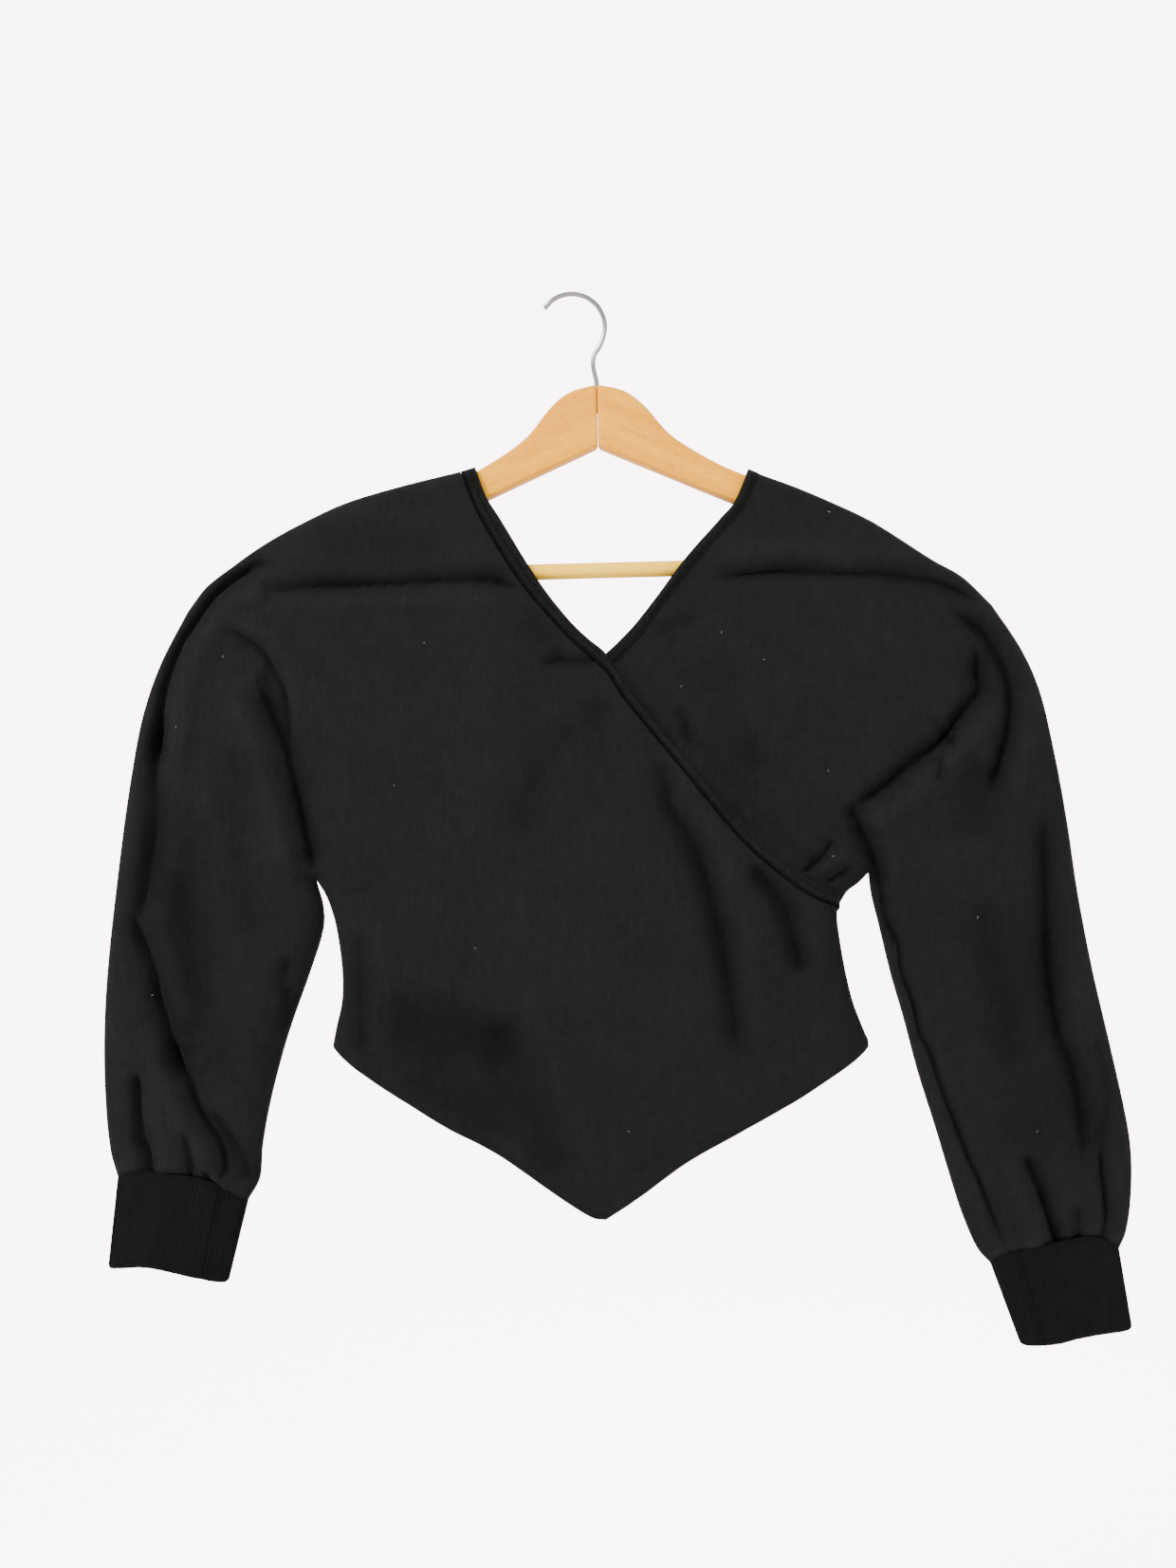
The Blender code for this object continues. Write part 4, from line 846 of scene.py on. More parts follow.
# name, trough, sink, cleft, cut, lip, side of the lip (1 = left of the run), run
FRONT_CREASES = [
    ("outer sleeve left", 8, 3.0, 3.2, 5.0, 2.6, 1,
     [(-192, -184), (-207, -183), (-217, -188), (-227, -194), (-237, -202), (-244, -211), (-252, -223),
      (-260, -235), (-267, -252), (-271, -265), (-273, -278), (-274, -290), (-276, -303),
      (-278, -324)]),
    ("outer sleeve left low", 9, 3.0, 4.4, 3.2, 1.8, 1,
     [(-273, -282), (-278, -324), (-277, -345), (-280, -373), (-283, -394), (-289, -424)]),
    ("long sleeve left", 9, 2.8, 3.6, 4.0, 2.4, 1,
     [(-294, -407), (-288, -427), (-282, -442), (-277, -457), (-275, -471), (-271, -483), (-267, -499),
      (-262, -515), (-255, -530)]),
    ("long sleeve left low", 7, 2.4, 2.6, 4.4, 2.6, -1,
     [(-269, -493), (-262, -515), (-255, -530), (-250, -544), (-244, -555), (-236, -567), (-233, -576),
      (-232, -584), (-235, -592), (-239, -598)]),
    ("second sleeve left", 6, 1.8, 3.4, 2.2, 1.4, 1,
     [(-244, -545), (-235, -552), (-229, -560), (-224, -569), (-220, -578), (-217, -586),
      (-216, -597)]),
    ("short sleeve left", 8, 1.2, 4.0, 0.8, 0.6, 1, [(-255, -483), (-252, -500), (-252, -514)]),
    ("gather outer left", 7, 2.4, 3.4, 3.4, 1.8, 1,
     [(-289, -517), (-288, -537), (-288, -552), (-286, -564), (-282, -576), (-281, -594)]),
    ("gather branch left", 5, 1.2, 2.6, 2.0, 0.8, -1, [(-295, -562), (-289, -568), (-283, -575)]),
    ("gather middle left", 6, 1.4, 2.6, 2.2, 1.0, -1, [(-259, -558), (-256, -576), (-254, -596)]),
    ("gather inner left", 5, 1.4, 2.8, 2.4, 0.8, 1, [(-246, -584), (-242, -593), (-238, -601)]),
    ("inner sleeve left", 7, 1.8, 3.0, 1.8, 1.0, 1,
     [(-188, -441), (-191, -460), (-188, -473), (-195, -499)]),
    ("below the bar left", 7, 2.4, 2.8, 3.4, 2.2, -1,
     [(-208, -200), (-191, -200), (-181, -198), (-168, -197), (-151, -197), (-119, -196), (-92, -194),
      (-64, -193), (-48, -195), (-32, -203)]),
    ("armpit left", 10, 3.6, 3.4, 5.0, 3.0, -1,
     [(-209, -255), (-206, -268), (-202, -278), (-198, -288), (-194, -297), (-190, -307), (-187, -320),
      (-182, -345), (-177, -366), (-172, -391)]),
    ("armpit flap left", 5, 1.2, 2.4, 2.8, 2.0, 1,
     [(-231, -224), (-217, -232), (-209, -237), (-202, -245), (-196, -256), (-191, -267), (-189, -278),
      (-188, -290), (-186, -304)]),
    ("armpit pocket left", 8, 1.8, 4.4, 1.4, 0.4, 1, [(-211, -258), (-202, -258), (-194, -256)]),
    ("sleeve head left", 6, 0.9, 2.6, 0.8, 0.5, 1, [(-229, -237), (-219, -237), (-209, -238)]),
    ("V crease", 5, 1.4, 2.4, 2.2, 1.0, 1, [(-24, -248), (-8, -246), (2, -246), (19, -247)]),
    ("V shadow", 9, 2.2, 4.0, 0.0, 0.0, 1, [(-32, -213), (-18, -229), (-2, -245)]),
    ("under the V", 11, 1.5, 4.0, 0.3, 0.6, 1,
     [(20, -265), (18, -278), (0, -296), (-12, -310), (-22, -324), (-27, -336), (-38, -372)]),
    ("under the V right", 9, 1.1, 4.0, 0.2, 0.4, -1, [(21, -270), (18, -290), (18, -324)]),
    ("body right", 9, 3.2, 4.6, 2.4, 2.2, 1,
     [(54, -305), (62, -322), (65, -340), (71, -352), (79, -364), (85, -378), (91, -395), (97, -417),
      (103, -444), (108, -479), (111, -514)]),
    ("side right", 9, 3.2, 4.6, 2.6, 1.4, 1,
     [(117, -378), (129, -393), (139, -405), (146, -421), (150, -439), (155, -459)]),
    ("chest right", 5, 1.3, 2.4, 1.6, 0.9, -1, [(69, -276), (75, -290), (79, -306)]),
    ("chest soft right", 7, 1.2, 3.4, 0.6, 0.5, 1, [(120, -294), (122, -308), (127, -324)]),
    ("chest faint right", 6, 0.9, 2.6, 0.6, 0.4, 1, [(56, -229), (71, -223), (89, -215)]),
    ("puff right", 4, 1.6, 2.2, 2.4, 1.2, 1, [(176, -366), (166, -379), (155, -389)]),
    ("puff low right", 3.5, 1.3, 1.9, 1.8, 1.0, -1, [(188, -383), (179, -388), (170, -395)]),
    ("below the bar right", 7, 2.0, 2.4, 3.2, 2.0, 1,
     [(87, -192), (119, -188), (149, -186), (179, -188), (196, -188), (214, -189), (230, -191),
      (242, -193), (252, -197), (262, -202), (277, -211)]),
    ("sleeve head right", 8, 3.0, 3.4, 5.0, 2.8, 1,
     [(251, -211), (264, -219), (274, -227), (282, -238), (288, -250), (292, -263), (293, -276),
      (292, -290), (289, -304), (285, -320), (278, -338)]),
    ("armpit right", 9, 3.2, 3.2, 5.0, 3.0, 1,
     [(269, -233), (271, -245), (272, -255), (273, -267), (266, -276), (258, -286), (251, -296),
      (238, -308), (224, -318), (208, -332), (196, -340), (185, -346)]),
    ("armpit knot right", 4, 1.6, 2.6, 2.2, 0.4, 1, [(246, -292), (252, -298), (257, -304)]),
    ("armpit branch right", 5, 1.2, 2.4, 1.8, 0.8, -1, [(246, -308), (245, -318), (243, -330)]),
    ("armpit tail right", 7, 2.8, 3.8, 5.0, 2.2, 1,
     [(185, -340), (192, -356), (198, -368), (203, -380), (208, -399)]),
    ("underarm right", 5, 1.6, 2.2, 3.0, 0.8, -1, [(201, -378), (206, -399), (209, -417), (217, -439)]),
    ("underarm seam right", 3.5, 1.0, 1.7, 3.6, 1.5, -1,
     [(204, -392), (206, -399), (209, -417), (217, -432), (220, -454), (228, -476), (233, -498),
      (238, -506), (246, -530), (256, -556), (266, -582), (272, -594), (278, -610), (285, -627),
      (292, -643)]),
    ("long sleeve right", 10, 3.2, 4.0, 4.4, 2.4, 1,
     [(314, -340), (316, -368), (317, -395), (318, -428), (320, -458), (324, -487), (327, -499),
      (333, -512), (337, -526), (340, -540), (342, -556), (342, -570), (339, -588)]),
    ("outer sleeve right", 8, 1.8, 3.6, 1.4, 1.0, 1,
     [(348, -491), (354, -512), (357, -526), (358, -544), (355, -560), (354, -582)]),
    ("gather outer right", 5, 2.0, 2.2, 3.4, 1.6, 1,
     [(354, -570), (355, -588), (357, -602), (358, -616), (355, -637)]),
    ("gather inner right", 6, 2.6, 3.2, 5.0, 2.0, -1,
     [(301, -573), (303, -578), (308, -590), (313, -602), (318, -616), (322, -628), (326, -641)]),
    ("gather middle right", 6, 1.2, 2.6, 1.2, 0.9, 1, [(337, -608), (340, -623), (341, -643)]),
    ("soft sleeve head right", 15, 2.0, 5.0, 0.0, 0.0, 1, [(272, -306), (270, -335), (266, -372)]),
    # The hollows and the dark sleeves below sink the cloth only a little; their darkness is mostly
    # painted shade
    ("hollow above the hem", 22, 3.3, 8.0, 0.0, 0.0, 1,
     [(-137, -489), (-95, -491), (-61, -497), (-30, -512)]),
    ("hollow right", 17, 2.7, 8.0, 0.0, 1.2, 1,
     [(-61, -479), (-42, -508), (-28, -538), (-16, -566), (-4, -594)]),
    ("hollow low", 20, 2.2, 8.0, 0.0, 0.0, 1, [(-117, -514), (-73, -540), (-36, -564)]),
    ("dark sleeve left", 24, 2.0, 8.0, 0.0, 0.0, 1,
     [(-260, -330), (-260, -399), (-250, -469), (-238, -538)]),
    ("dark sleeve right", 24, 1.3, 8.0, 0.0, 0.0, 1,
     [(276, -389), (290, -459), (302, -528), (313, -588)]),
    ("above the bar left", 12, 1.2, 4.0, 0.0, 0.6, 1, [(-176, -166), (-130, -172), (-84, -176)]),
    ("soft sleeve left", 12, 1.6, 4.0, 0.4, 0.6, 1, [(-262, -380), (-254, -440), (-247, -500)]),
    ("soft sleeve left inner", 12, 1.4, 4.0, 0.3, 0.6, -1, [(-226, -300), (-222, -370), (-212, -440)]),
    ("soft sleeve right", 12, 1.4, 4.0, 0.3, 0.6, -1, [(270, -400), (282, -460), (296, -520)]),
    ("side left", 9, 2.2, 3.4, 1.2, 1.0, 1, [(-144, -422), (-140, -452), (-139, -512)]),
    ("chest wide right", 16, 1.4, 5.0, 0.0, 0.8, 1, [(96, -236), (104, -290), (124, -338)]),
]


def over_the_band(places):
    """How far in the inner front lies: fully behind the outer front, not at all clear of it."""
    border = np.vstack([through(OVER_FREE), SIDE_R[3:], [(SIDE_R[-1][0], BODY_FORM[-1][0])]])
    away, side, _ = beside(places, border)
    return UNDERLAP * (1.0 - smooth((away * side - TUCK_START) / TUCK_OVER))


def inset_line(points, amount):
    """The same line moved sideways along X."""
    return [(x + amount, z) for x, z in points]


def between(a, b, share):
    return (a[0] + (b[0] - a[0]) * share, a[1] + (b[1] - a[1]) * share)


def side_below(line, top):
    """The part of a side line below a height, starting at the given place."""
    return [top] + [(x, z) for x, z in line if z < top[1] - 3]


across = spread(ACROSS)
below = spread(BELOW, False, False)
near = spread(BODY_HALF, True, False)
far = spread(BODY_HALF, False, True)

corner = OVER_CLOTH[-1]
level_share = (HEM_L[-1][0] - SIDE_L[0][0]) / (corner[0] - SIDE_L[0][0])
middle = between(SIDE_L[0], corner, level_share)
shares = np.concatenate([near * level_share, level_share + far[1:] * (1 - level_share)])
right_side = side_below(SIDE_R, corner)
over_blocks = [
    net(OUTER_L, INNER_L, seam_line(OUTER_L[0], INNER_L[0], SEAM_RISE_L), ARMHOLE_L,
        spread(SLEEVE_ALONG, False, False), across),
    net(SHOULDER_L, [SIDE_L[0], corner], ARMHOLE_L, OVER_CLOTH, shares, across, CROWD),
    net([SIDE_L[0], middle], HEM_L, SIDE_L, [middle, HEM_L[-1]], near, below),
    net([middle, corner], HEM_R, [middle, HEM_R[0]], right_side, far, below),
]
over_seams = [OUTER_L, INNER_L, SHOULDER_L, SIDE_L, right_side]


def over_shape(places):
    depth, *lies = outer_face(places, FRONT_CREASES, edge_distance(places, over_seams),
                              np.zeros(len(places)), FRONT_SEED)
    return -depth, *lies


front_over = add_cloth("front_over_knit", flat_net(over_blocks, -1), WALL, knit, over_shape,
                       "front_over")

corner = UNDER_CLOTH[-1]
under_share = (SIDE_R[0][0] - HEM_R[0][0]) / (SIDE_R[0][0] - corner[0])
middle = between(SIDE_R[0], corner, under_share)
shares = np.concatenate([near * under_share, under_share + far[1:] * (1 - under_share)])
tucked_right = SIDE_R[:1] + PUFF_R + inset_line(SIDE_R[3:], -UNDERLAP)
tucked_left = inset_line(side_below(SIDE_L, (corner[0] - UNDERLAP, corner[1])), UNDERLAP)
tucked_left[0] = corner
hem_left = [(x, z + LAYER_STEP) for x, z in HEM_L]
hem_right = [(x, z + LAYER_STEP) for x, z in HEM_R]
hem_left[0], hem_right[-1] = tucked_left[-1], tucked_right[-1]
under_blocks = [
    net(OUTER_R, INNER_R, seam_line(OUTER_R[0], INNER_R[0], SEAM_RISE_R), ARMHOLE_R,
        spread(SLEEVE_ALONG, False, False), across),
    net(SHOULDER_R, [SIDE_R[0], corner], ARMHOLE_R, UNDER_CLOTH, shares, across, CROWD),
    net([SIDE_R[0], middle], hem_right[::-1], tucked_right, [middle, hem_right[0]], near, below),
    net([middle, corner], hem_left[::-1], [middle, hem_left[-1]], tucked_left, far, below),
]
under_seams = [OUTER_R, INNER_R, SHOULDER_R, tucked_right, tucked_left]


def under_shape(places):
    depth, *lies = outer_face(places, FRONT_CREASES, edge_distance(places, under_seams),
                              over_the_band(places), FRONT_SEED)
    return -depth, *lies


front_under = add_cloth("front_under_knit", flat_net(under_blocks, -1), WALL, knit, under_shape,
                        "front_under")

# ---------------------------------------------------------------------------------------- Neckbands
# Strips of doubled rib, about ten millimetres wide, sewn round the neck with their fold outwards.
# The seam pulls a groove beside the panel, the fold makes a rounded ridge, the ribs run across.

BAND_WALL = 2.4
BAND_PROUD, TUCKED_PROUD = 0.7, 0.3  # how far a band stands out of its panel, and a tucked one
BAND_FADE = 4.0  # over this distance from a closed edge
BAND_ACROSS = 17
BAND_LIGHT, BAND_DARK, RIB_LIGHT = 0.14, 0.44, 0.5  # painted light on the fold and ribs, painted shade in the groove: shares of the tone for each millimetre
LESS_DRAWN = 0.4  # the groove beside the other neckbands is shallower
BAND_STATION = 0.5  # between stations along it
RIB_PITCH, RIB_RAISED = 2.4, 0.26
GROOVE_AT, GROOVE_WIDE, GROOVE_DEEP = 1.2, 1.5, 1.8
RIDGE_AT, RIDGE_WIDE, RIDGE_RAISED = 4.4, 1.3, 0.7  # the seam's own allowances, folded under the rib
TURN_AT, TURN_WIDE, TURN_DEEP = 6.6, 0.7, 0.6  # where they end
FOLD_IN, FOLD_WIDE, FOLD_RAISED = 2.0, 1.4, 0.9  # the ridge's place from the free edge
BACK_FREE_L = [(-65, -115.5), (-57, -137), (-47, -154), (-25, -189), (1, -221), (24, -247)]
BACK_FREE_R = [(119, -116.5), (109, -140), (99, -152), (76, -180), (48, -218), (24, -247)]
rib = cotton("black_rib", (0.0040, 0.0042, 0.0039), (0.0066, 0.0069, 0.0064),
             0.0012, 0.0008, 0.0004, 0.02)


def band(name, node, facing, creases, seed, cloth_edge, free_edge, crowd, seam_lines, inset, proud,
         drawn):
    """A neckband between a panel's edge and its own free edge."""
    length = np.linalg.norm(np.diff(through(cloth_edge), axis=0), axis=1).sum()
    shares = np.linspace(0, 1, int(length / BAND_STATION)) ** crowd
    cloth, free = along(cloth_edge, shares), along(free_edge, shares)
    width = np.linalg.norm(free - cloth, axis=1)[:, None]
    start = cloth + (free - cloth) * (SEAM_GAP / width)
    grid = np.stack([start + (free - start) * share for share in np.linspace(0, 1, BAND_ACROSS)],
                    axis=1)

    def shape(places):
        edge = edge_distance(places, seam_lines)
        depth, off, deep, shade = outer_face(places, creases, edge, inset(places), seed)
        line = through(cloth_edge)
        out, _, share = beside(places, line)
        back_in = beside(places, through(free_edge))[0]
        groove = drawn * (GROOVE_DEEP * np.exp(-(((out - GROOVE_AT) / GROOVE_WIDE) ** 2))
                          + TURN_DEEP * np.exp(-(((out - TURN_AT) / TURN_WIDE) ** 2)))
        fold = (FOLD_RAISED * np.exp(-(((back_in - FOLD_IN) / FOLD_WIDE) ** 2))
                + RIDGE_RAISED * np.exp(-(((out - RIDGE_AT) / RIDGE_WIDE) ** 2)))
        ribs = RIB_RAISED * np.cos(2 * math.pi * share * length / RIB_PITCH)
        shown = smooth(out / 3.0) * smooth(back_in / 1.5)
        raised = (proud + fold - groove + ribs * shown) * smooth(edge / BAND_FADE)
        # Painted light on the fold and the ribs, painted shade in the seam's groove
        shade += BAND_LIGHT * fold - BAND_DARK * groove + RIB_LIGHT * ribs * shown
        return facing * (depth + raised), off, deep, shade

    return add_cloth(name, flat_net([grid], facing), BAND_WALL, rib, shape, node)


def plain(places):
    return np.zeros(len(places))


neck_pieces = {
    "over": band("neckband_over_rib", "neckband_over", -1, FRONT_CREASES, FRONT_SEED, OVER_CLOTH,
                 OVER_FREE, CROWD, [SHOULDER_L + [OVER_FREE[0]], [OVER_FREE[-1], OVER_CLOTH[-1]]],
                 plain, BAND_PROUD, 1.0),
    "under": band("neckband_under_rib", "neckband_under", -1, FRONT_CREASES, FRONT_SEED, UNDER_CLOTH,
                  UNDER_FREE, CROWD,
                  [SHOULDER_R + [UNDER_FREE[0]], [UNDER_FREE[-1], UNDER_CLOTH[-1]]],
                  over_the_band, TUCKED_PROUD, LESS_DRAWN),
}
for side, cloth_edge, free_edge, shoulder, apart in (
    ("left", BACK_CLOTH_L, BACK_FREE_L, SHOULDER_L, -SEAM_GAP / 2),
    ("right", BACK_CLOTH_R, BACK_FREE_R, SHOULDER_R, SEAM_GAP / 2),
):
    neck_pieces[side] = band(
        f"neckband_back_{side}_rib", f"neckband_back_{side}", 1, BACK_CREASES, BACK_SEED,
        inset_line(cloth_edge, apart), inset_line(free_edge, apart), BACK_CROWD,
        [shoulder + [free_edge[0]]], plain, TUCKED_PROUD, LESS_DRAWN)

# ---------------------------------------------------------------------------------------- Cuffs
# Tubes of doubled two-by-two rib, narrower than the sleeve that is eased into them, closed by one
# seam. They hang flattened, with their fold as the open end.

CUFF_END_L = [(-312.5, -655), (-231.5, -664.5)]  # the open end, its outer and inner side
CUFF_END_R = [(378, -696), (303, -707)]
END_RISE_L = [(0, 0), (0.12, 2.3), (0.33, 5.6), (0.55, 4.4), (0.78, 1.9), (0.93, 0.2), (1, 0)]
END_RISE_R = [(0, 0), (0.27, 1.7), (0.48, 1.8), (0.69, -0.2), (0.9, -0.4), (1, 0)]
CUFF_TAPER = 1.5
CUFF_RIBS, RIB_STATIONS = 92, 5
CUFF_RINGS = 26
CUFF_RIB_RAISED = 0.16
CUFF_FOLD = 3.0  # the open end rounds over this length
CUFF_LAP = 0.5  # its seam laps over the sleeve's edge
CUFF_SEAM_AT, CUFF_SEAM_WIDE, CUFF_SEAM_DEEP = 0.8, 1.2, 0.6  # share of the way to the inner edge
CUFF_SEAM_RIDGE = 3.2  # the edge of the seam's allowances shows this far beyond it
# Painted shade along the seam and its allowances, and at the top where the cuff meets the sleeve
CUFF_SHADE, CUFF_SHADE_LONG = 0.35, 1.6
CUFF_RIBS_VARY = 0.35
CUFF_SWELL, CUFF_WAVE = 0.5, 0.5


def cuff(side, outer_top, inner_top, outer_end, inner_end, seam_rises, end_rises, rests_on):
    """A flattened tube from its seam down to its fold and up again inside."""
    top, end = np.array([outer_top, inner_top], float), np.array([outer_end, inner_end], float)
    down = (end - top).mean(axis=0)
    long = np.linalg.norm(down)
    down /= long
    top -= down * CUFF_LAP
    hand = math.copysign(1.0, inner_top[0] - outer_top[0])
    count = CUFF_RIBS * RIB_STATIONS
    angles = np.linspace(0, 2 * math.pi, count, endpoint=False)
    crossed = (1 - np.cos(angles)) / 2
    before = hand * np.sin(angles) > 0
    part = np.where(before, 1.0, RISE_BEHIND)
    ribs = CUFF_RIB_RAISED * np.cos(angles * CUFF_RIBS)
    ribs *= 1 + CUFF_RIBS_VARY * np.sin(3 * angles + 1.0)
    from_seam = (crossed - CUFF_SEAM_AT) * math.dist(outer_top, inner_top)
    seam = np.exp(-((from_seam / CUFF_SEAM_WIDE) ** 2)) * before
    seam += 0.6 * np.exp(-(((from_seam - CUFF_SEAM_RIDGE) / CUFF_SEAM_WIDE) ** 2)) * before
    shares = spread(CUFF_RINGS, True, True)
    rings, shade = [], []
    for share, inward in [(s, 0.0) for s in shares] + [(s, BAND_WALL) for s in shares[::-1]]:
        outer, inner = top + (end - top) * share
        half = (outer - inner) / 2
        wide = np.linalg.norm(half)
        to_end = (1 - share) * long
        fold = BAND_WALL / 2 * (1 - math.sqrt(1 - (1 - min(to_end / CUFF_FOLD, 1)) ** 2))
        draw = inward - fold if inward else fold
        swell = CUFF_SWELL * math.sin(math.pi * min(share * 1.15, 1)) - CUFF_SEAM_DEEP * seam
        thick = CUFF_DEPTH - CUFF_TAPER * share - draw + swell
        shown = 0.0 if inward else smooth(to_end / CUFF_FOLD) * smooth(share / 0.03)
        reach = 1 - (draw - ribs * shown) / wide
        x, z = (outer + inner)[:, None] / 2 + half[:, None] * reach * np.cos(angles)
        z += (rise_at(crossed, seam_rises) * (1 - share) ** 1.5
              + rise_at(crossed, end_rises) * share) * part
        waves_in = CUFF_WAVE * np.sin(2.3 * x / 10 + 4 * share) * np.sin(angles) ** 2 * (not inward)
        y = -hand * (thick + ribs * shown + waves_in) * np.sin(angles)
        rings.append(np.column_stack([x, y, z]))
        # Painted shade along the seam and next to the sleeve
        shade.append(-CUFF_SHADE * (seam + math.exp(-((share * long / CUFF_SHADE_LONG) ** 2))))
    points = np.vstack(rings) * MM
    faces = []
    for ring in range(len(rings)):
        here, under = ring * count, (ring + 1) % len(rings) * count
        for k in range(count):
            beyond = (k + 1) % count
            faces.append((here + k, under + k, under + beyond, here + beyond))
    mesh = bpy.data.meshes.new(f"cuff_{side}_rib")
    mesh.from_pydata(points.tolist(), [], faces)
    mesh.attributes.new("cleft_shade", "FLOAT", "POINT").data.foreach_set(
        "value", np.concatenate(shade).astype(np.float32))
    mesh.materials.append(cuff_rib)
    made = in_scene(mesh.name, mesh)
    alone(made)
    bpy.ops.object.shade_smooth_by_angle(angle=CLOTH_ROUND)
    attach(made, "root")
    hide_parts(f"cuff_{side}")


cuff_rib = cotton("black_cuff_rib", (0.0024, 0.0025, 0.0023), (0.0041, 0.0042, 0.0038),
                  0.0012, 0.0008, 0.0004, 0.02)
cuff("left", OUTER_L[0], INNER_L[0], *CUFF_END_L, SEAM_RISE_L, END_RISE_L, "front_over_knit")
cuff("right", OUTER_R[0], INNER_R[0], *CUFF_END_R, SEAM_RISE_R, END_RISE_R, "front_under_knit")

# ---------------------------------------------------------------------------------------- Hem
# The bottom edge is turned up once inside and held by a twin needle: two rows of black stitches
# that show outside, on the front and on the back.

HEM_ROWS = (13.0, 16.0)  # above the edge
HEM_CLEAR = 14.0  # the rows start and end this far from the side seams
STITCH, STITCH_PITCH, STITCH_THICK = 2.3, 3.0, 0.42
THREAD_SIDES = 5


def threads(name, runs, thick, out, yarn):
    """Short threads with tapered ends, from the middles of their rings, each ring's share of the
    thickness and the way sideways.
    """
    points, faces = [], []
    for middles, shares, side in runs:
        first = len(points)
        for middle, share in zip(middles, shares):
            for turn in np.arange(THREAD_SIDES) * 2 * math.pi / THREAD_SIDES:
                points.append(middle + thick / 2 * share
                              * (out * math.sin(turn) + side * math.cos(turn)))
        for ring in range(len(shares) - 1):
            here = first + ring * THREAD_SIDES
            for k in range(THREAD_SIDES):
                beyond = (k + 1) % THREAD_SIDES
                faces.append((here + k, here + beyond, here + THREAD_SIDES + beyond,
                              here + THREAD_SIDES + k))
        faces.append(tuple(range(first + THREAD_SIDES - 1, first - 1, -1)))
        faces.append(tuple(range(len(points) - THREAD_SIDES, len(points))))
    mesh = bpy.data.meshes.new(name)
    mesh.from_pydata((np.array(points) * MM).tolist(), [], faces)
    mesh.materials.append(yarn)
    mesh.shade_smooth()
    work = bmesh.new()
    work.from_mesh(mesh)
    bmesh.ops.recalc_face_normals(work, faces=work.faces)
    work.to_mesh(mesh)
    work.free()
    made = in_scene(name, mesh)
    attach(made, "root")
    return made


def stitches(name, wall_shape, facing):
    """Two rows of stitches that follow a panel's outer face above its hem."""
    runs = []
    out = np.array([0, facing, 0])
    hem = np.vstack([through(HEM_L), through(HEM_R)[1:]])
    run = np.concatenate([[0], np.cumsum(np.linalg.norm(np.diff(hem, axis=0), axis=1))])
    step = np.gradient(hem, axis=0)
    step /= np.linalg.norm(step, axis=1)[:, None]
    upward = np.column_stack([-step[:, 1], step[:, 0]])
    starts = np.arange(HEM_CLEAR, run[-1] - HEM_CLEAR, STITCH_PITCH)
    for row in HEM_ROWS:
        line = hem + upward * row
        for ends in np.stack([starts, starts + STITCH], axis=1):
            place = np.column_stack([np.interp(ends, run, line[:, k]) for k in (0, 1)])
            a, b = np.column_stack([place[:, 0], wall_shape(place)[0], place[:, 1]])
            ahead = (b - a) / np.linalg.norm(b - a)
            runs.append(([a + (b - a) * share for share in (0.0, 0.25, 0.75, 1.0)],
                         (0.35, 1.0, 1.0, 0.35), np.cross(ahead, out)))
    return threads(name, runs, STITCH_THICK, out, rib)


front_stitches = stitches("hem_stitches_front", over_shape, -1)
back_stitches = stitches("hem_stitches_back", back_shape, 1)

# ---------------------------------------------------------------------------------------- Lint
# A few pale fibres that cling to the front, as they do to any black cotton. Each is a millimetre or
# two long, a little bent, and lies on the cloth.

LINT_THICK, LINT_STEPS = 0.3, 4
LINT_SUNK = 0.4  # of its thickness
# x, z, length, direction in degrees, bend
LINT = [
    (100, -228, 1.6, 70, 0.5), (174, -377, 1.8, 20, 0.6), (171, -320, 1.3, 110, 0.4),
    (73, -264, 1.2, 40, 0.5), (172, -147, 2.4, 155, 0.7), (-262, -291, 1.4, 95, 0.5),
    (271, -418, 1.9, 80, 0.6), (-98, -235, 1.2, 10, 0.3), (-232, -244, 1.5, 60, 0.5),
    (-64, -438, 1.1, 130, 0.4), (38, -560, 1.3, 25, 0.5), (-118, -330, 1.0, 75, 0.3),
    (310, -560, 1.2, 50, 0.4), (-280, -470, 1.1, 15, 0.4), (128, -246, 1.0, 140, 0.3),
]


def lint(name, specks, on_cloth):
    """Short bent fibres on the outer face of a front."""
    runs = []
    for x, z, long, heading, bend in specks:
        run = np.linspace(-0.5, 0.5, LINT_STEPS)
        turn = math.radians(heading)
        ahead, aside = run * long, bend * long * (0.25 - run**2)
        place = np.column_stack([x + ahead * math.cos(turn) - aside * math.sin(turn),
                                 z + ahead * math.sin(turn) + aside * math.cos(turn)])
        depth = on_cloth(place)[0] - LINT_THICK * LINT_SUNK
        runs.append((np.column_stack([place[:, 0], depth, place[:, 1]]), (0.5, 1.0, 1.0, 0.5),
                     np.array([-math.sin(turn), 0, math.cos(turn)])))
    return threads(name, runs, LINT_THICK, np.array([0, 1, 0]), pale_fibre)


pale_fibre, fibre_tree, fibre_shader = new_material("pale_fibre", {
    "Roughness": 0.9, "Specular IOR Level": 0.1})
fibre_place = add_node(fibre_tree, "ShaderNodeTexCoord").outputs["Object"]
fibre_tone = mixed(fibre_tree, noise(fibre_tree, fibre_place, 900.0), (0.10, 0.10, 0.10, 1),
                   (0.34, 0.33, 0.32, 1))
fibre_tree.links.new(fibre_tone, fibre_shader.inputs["Base Color"])
over_line = np.vstack([through(OVER_FREE), SIDE_R[3:]])


def is_over(speck):
    """Whether a place on the front lies on the outer front, left of its free edge."""
    return beside(np.array([speck[:2]], float), over_line)[1][0] < 0


lint_over = lint("lint_over", [speck for speck in LINT if is_over(speck)], over_shape)
lint_under = lint("lint_under", [speck for speck in LINT if not is_over(speck)], under_shape)

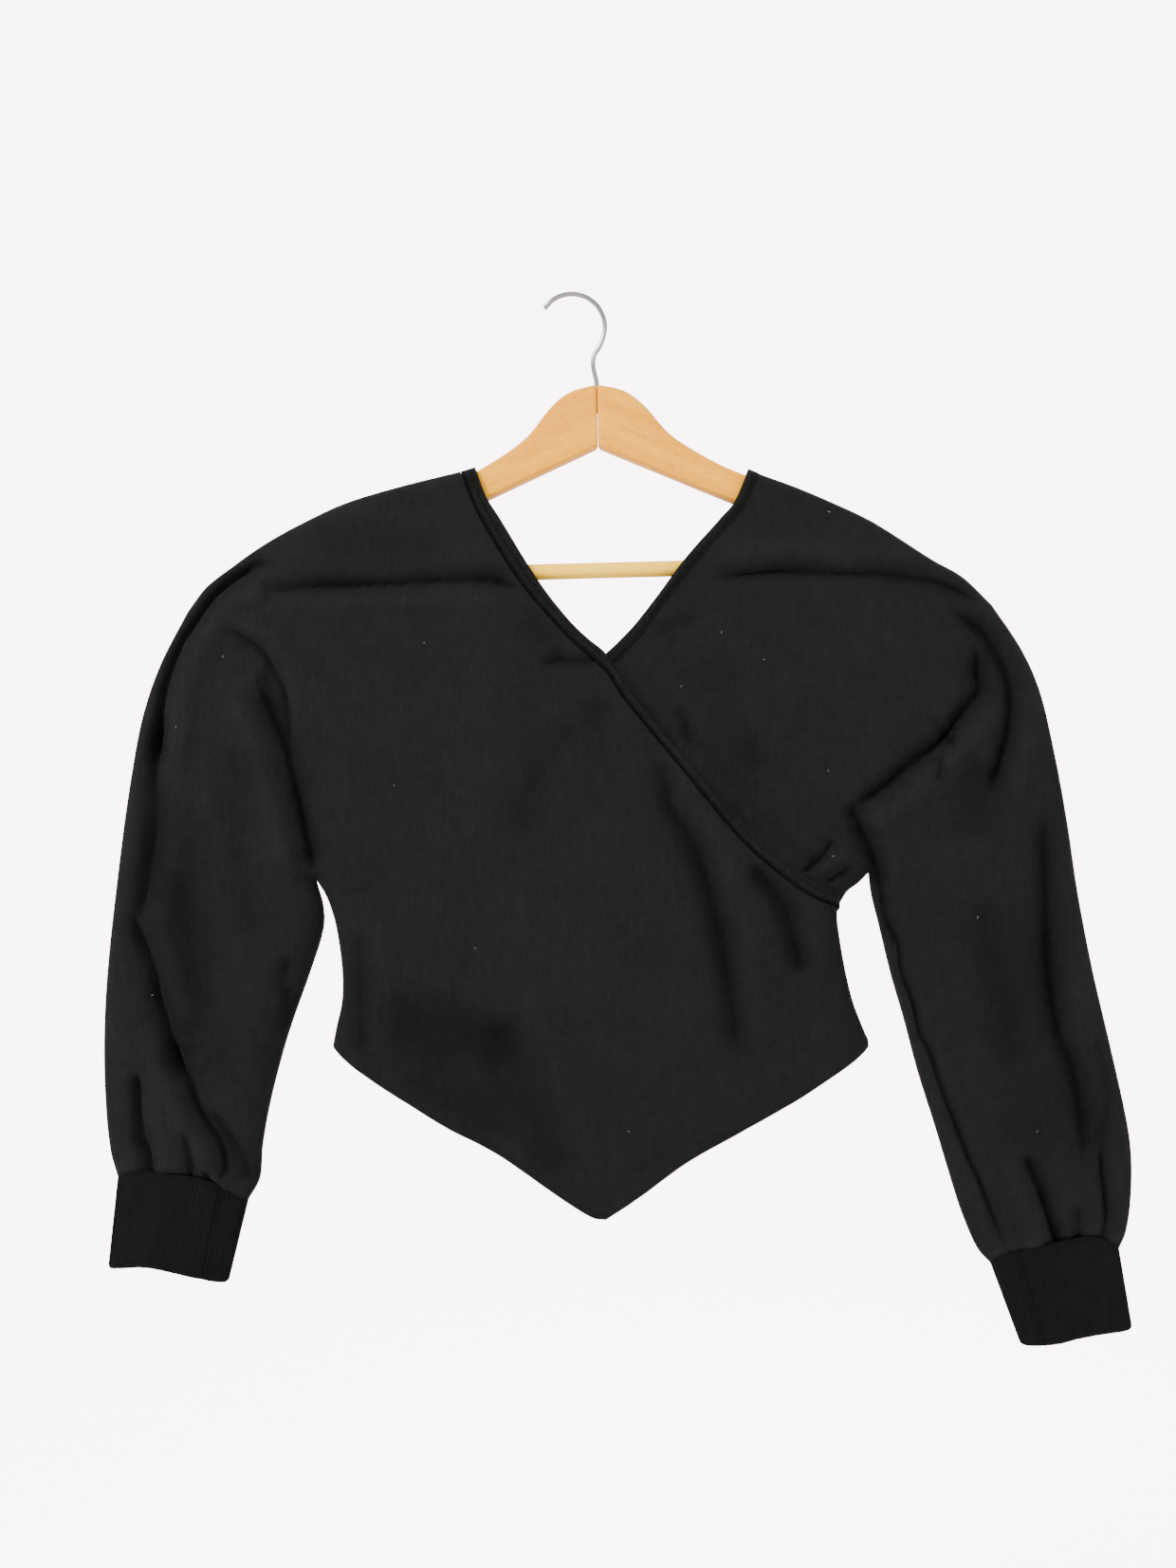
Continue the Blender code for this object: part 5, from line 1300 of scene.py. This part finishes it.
# ---------------------------------------------------------------------------------------- View
# A wide pale floor of paper that rises all round into a rim and glows a little, four soft lights,
# and a camera at the photograph's viewing angle.

FLOOR = -1.5
FLOOR_WIDE, RIM_WIDE, RIM_HIGH = 2.6, 4.4, 6.5
RIM_RINGS, FLOOR_SIDES = 14, 96
PAPER_SEEN, PAPER_LIT = 7.0, 0.25  # glow of the paper to the eye, and on the things around it

nothing_selected()
bpy.ops.mesh.primitive_circle_add(vertices=FLOOR_SIDES, radius=FLOOR_WIDE, fill_type="NGON",
                                  location=(0, 0, FLOOR))
floor = bpy.context.active_object
floor.name = "floor"
bpy.ops.object.transform_apply(location=True, rotation=True, scale=True)
work = bmesh.new()
work.from_mesh(floor.data)
ring = list(work.edges)
for turn in np.linspace(0, math.pi / 2, RIM_RINGS)[1:]:
    grown = bmesh.ops.extrude_edge_only(work, edges=ring)["geom"]
    ring = [e for e in grown if isinstance(e, bmesh.types.BMEdge)
            and all(v in grown for v in e.verts)]
    ring = [e for e in ring if len(e.link_faces) == 1]
    wide = FLOOR_WIDE + (RIM_WIDE - FLOOR_WIDE) * math.sin(turn)
    high = FLOOR + RIM_HIGH * (1 - math.cos(turn))
    for v in {v for e in ring for v in e.verts}:
        heading = math.atan2(v.co.y, v.co.x)
        v.co = (wide * math.cos(heading), wide * math.sin(heading), high)
bmesh.ops.recalc_face_normals(work, faces=work.faces)
work.to_mesh(floor.data)
work.free()
floor.data.shade_smooth()
paper, paper_tree, paper_shader = new_material("pale_paper", {
    "Base Color": (0.90, 0.88, 0.885, 1), "Roughness": 0.9, "Specular IOR Level": 0.1})
seen = add_node(paper_tree, "ShaderNodeLightPath").outputs["Is Camera Ray"]
blush = mixed(paper_tree, seen, (1.0, 0.98, 0.985, 1), (1.0, 0.80, 0.88, 1))
paper_tree.links.new(blush, paper_shader.inputs["Emission Color"])
lit = maths(paper_tree, "ADD", maths(paper_tree, "MULTIPLY", seen, PAPER_SEEN), PAPER_LIT)
paper_tree.links.new(lit, paper_shader.inputs["Emission Strength"])
floor.data.materials.append(paper)

world = bpy.data.worlds.new("pale_air")
world.use_nodes = True
world.node_tree.nodes["Background"].inputs["Color"].default_value = (1.0, 0.985, 0.99, 1)
world.node_tree.nodes["Background"].inputs["Strength"].default_value = 0.3
bpy.context.scene.world = world

# name, place, aimed at, size, watts
for name, place, aim, size, watts in (
    ("key", (-1.3, -1.5, 1.25), (0, 0, -0.3), 0.8, 120),
    ("fill", (1.7, -1.9, 0.1), (0, 0, -0.4), 1.6, 16),
    ("top", (0.1, -0.1, 1.7), (0, 0, -0.3), 1.2, 16),
    ("behind", (0.8, 2.1, 0.9), (0, 0, -0.35), 1.2, 80),
):
    light = bpy.data.lights.new(name, "AREA")
    light.size = size
    light.energy = watts
    lamp = in_scene(name, light)
    lamp.location = place
    lamp.visible_camera = False
    toward = np.array(aim) - np.array(place)
    level = math.hypot(toward[0], toward[1])
    lamp.rotation_euler = (math.pi / 2 + math.atan2(toward[2], level), 0,
                           math.atan2(-toward[0], toward[1]))

VIEW_FROM = (0.011, -0.950, -0.3289)
camera_data = bpy.data.cameras.new("camera")
camera_data.lens = 32.33
camera_data.sensor_width = 36.0
camera = in_scene("camera", camera_data)
camera.location = VIEW_FROM
camera.rotation_euler = (math.pi / 2, 0, 0)
bpy.context.scene.camera = camera
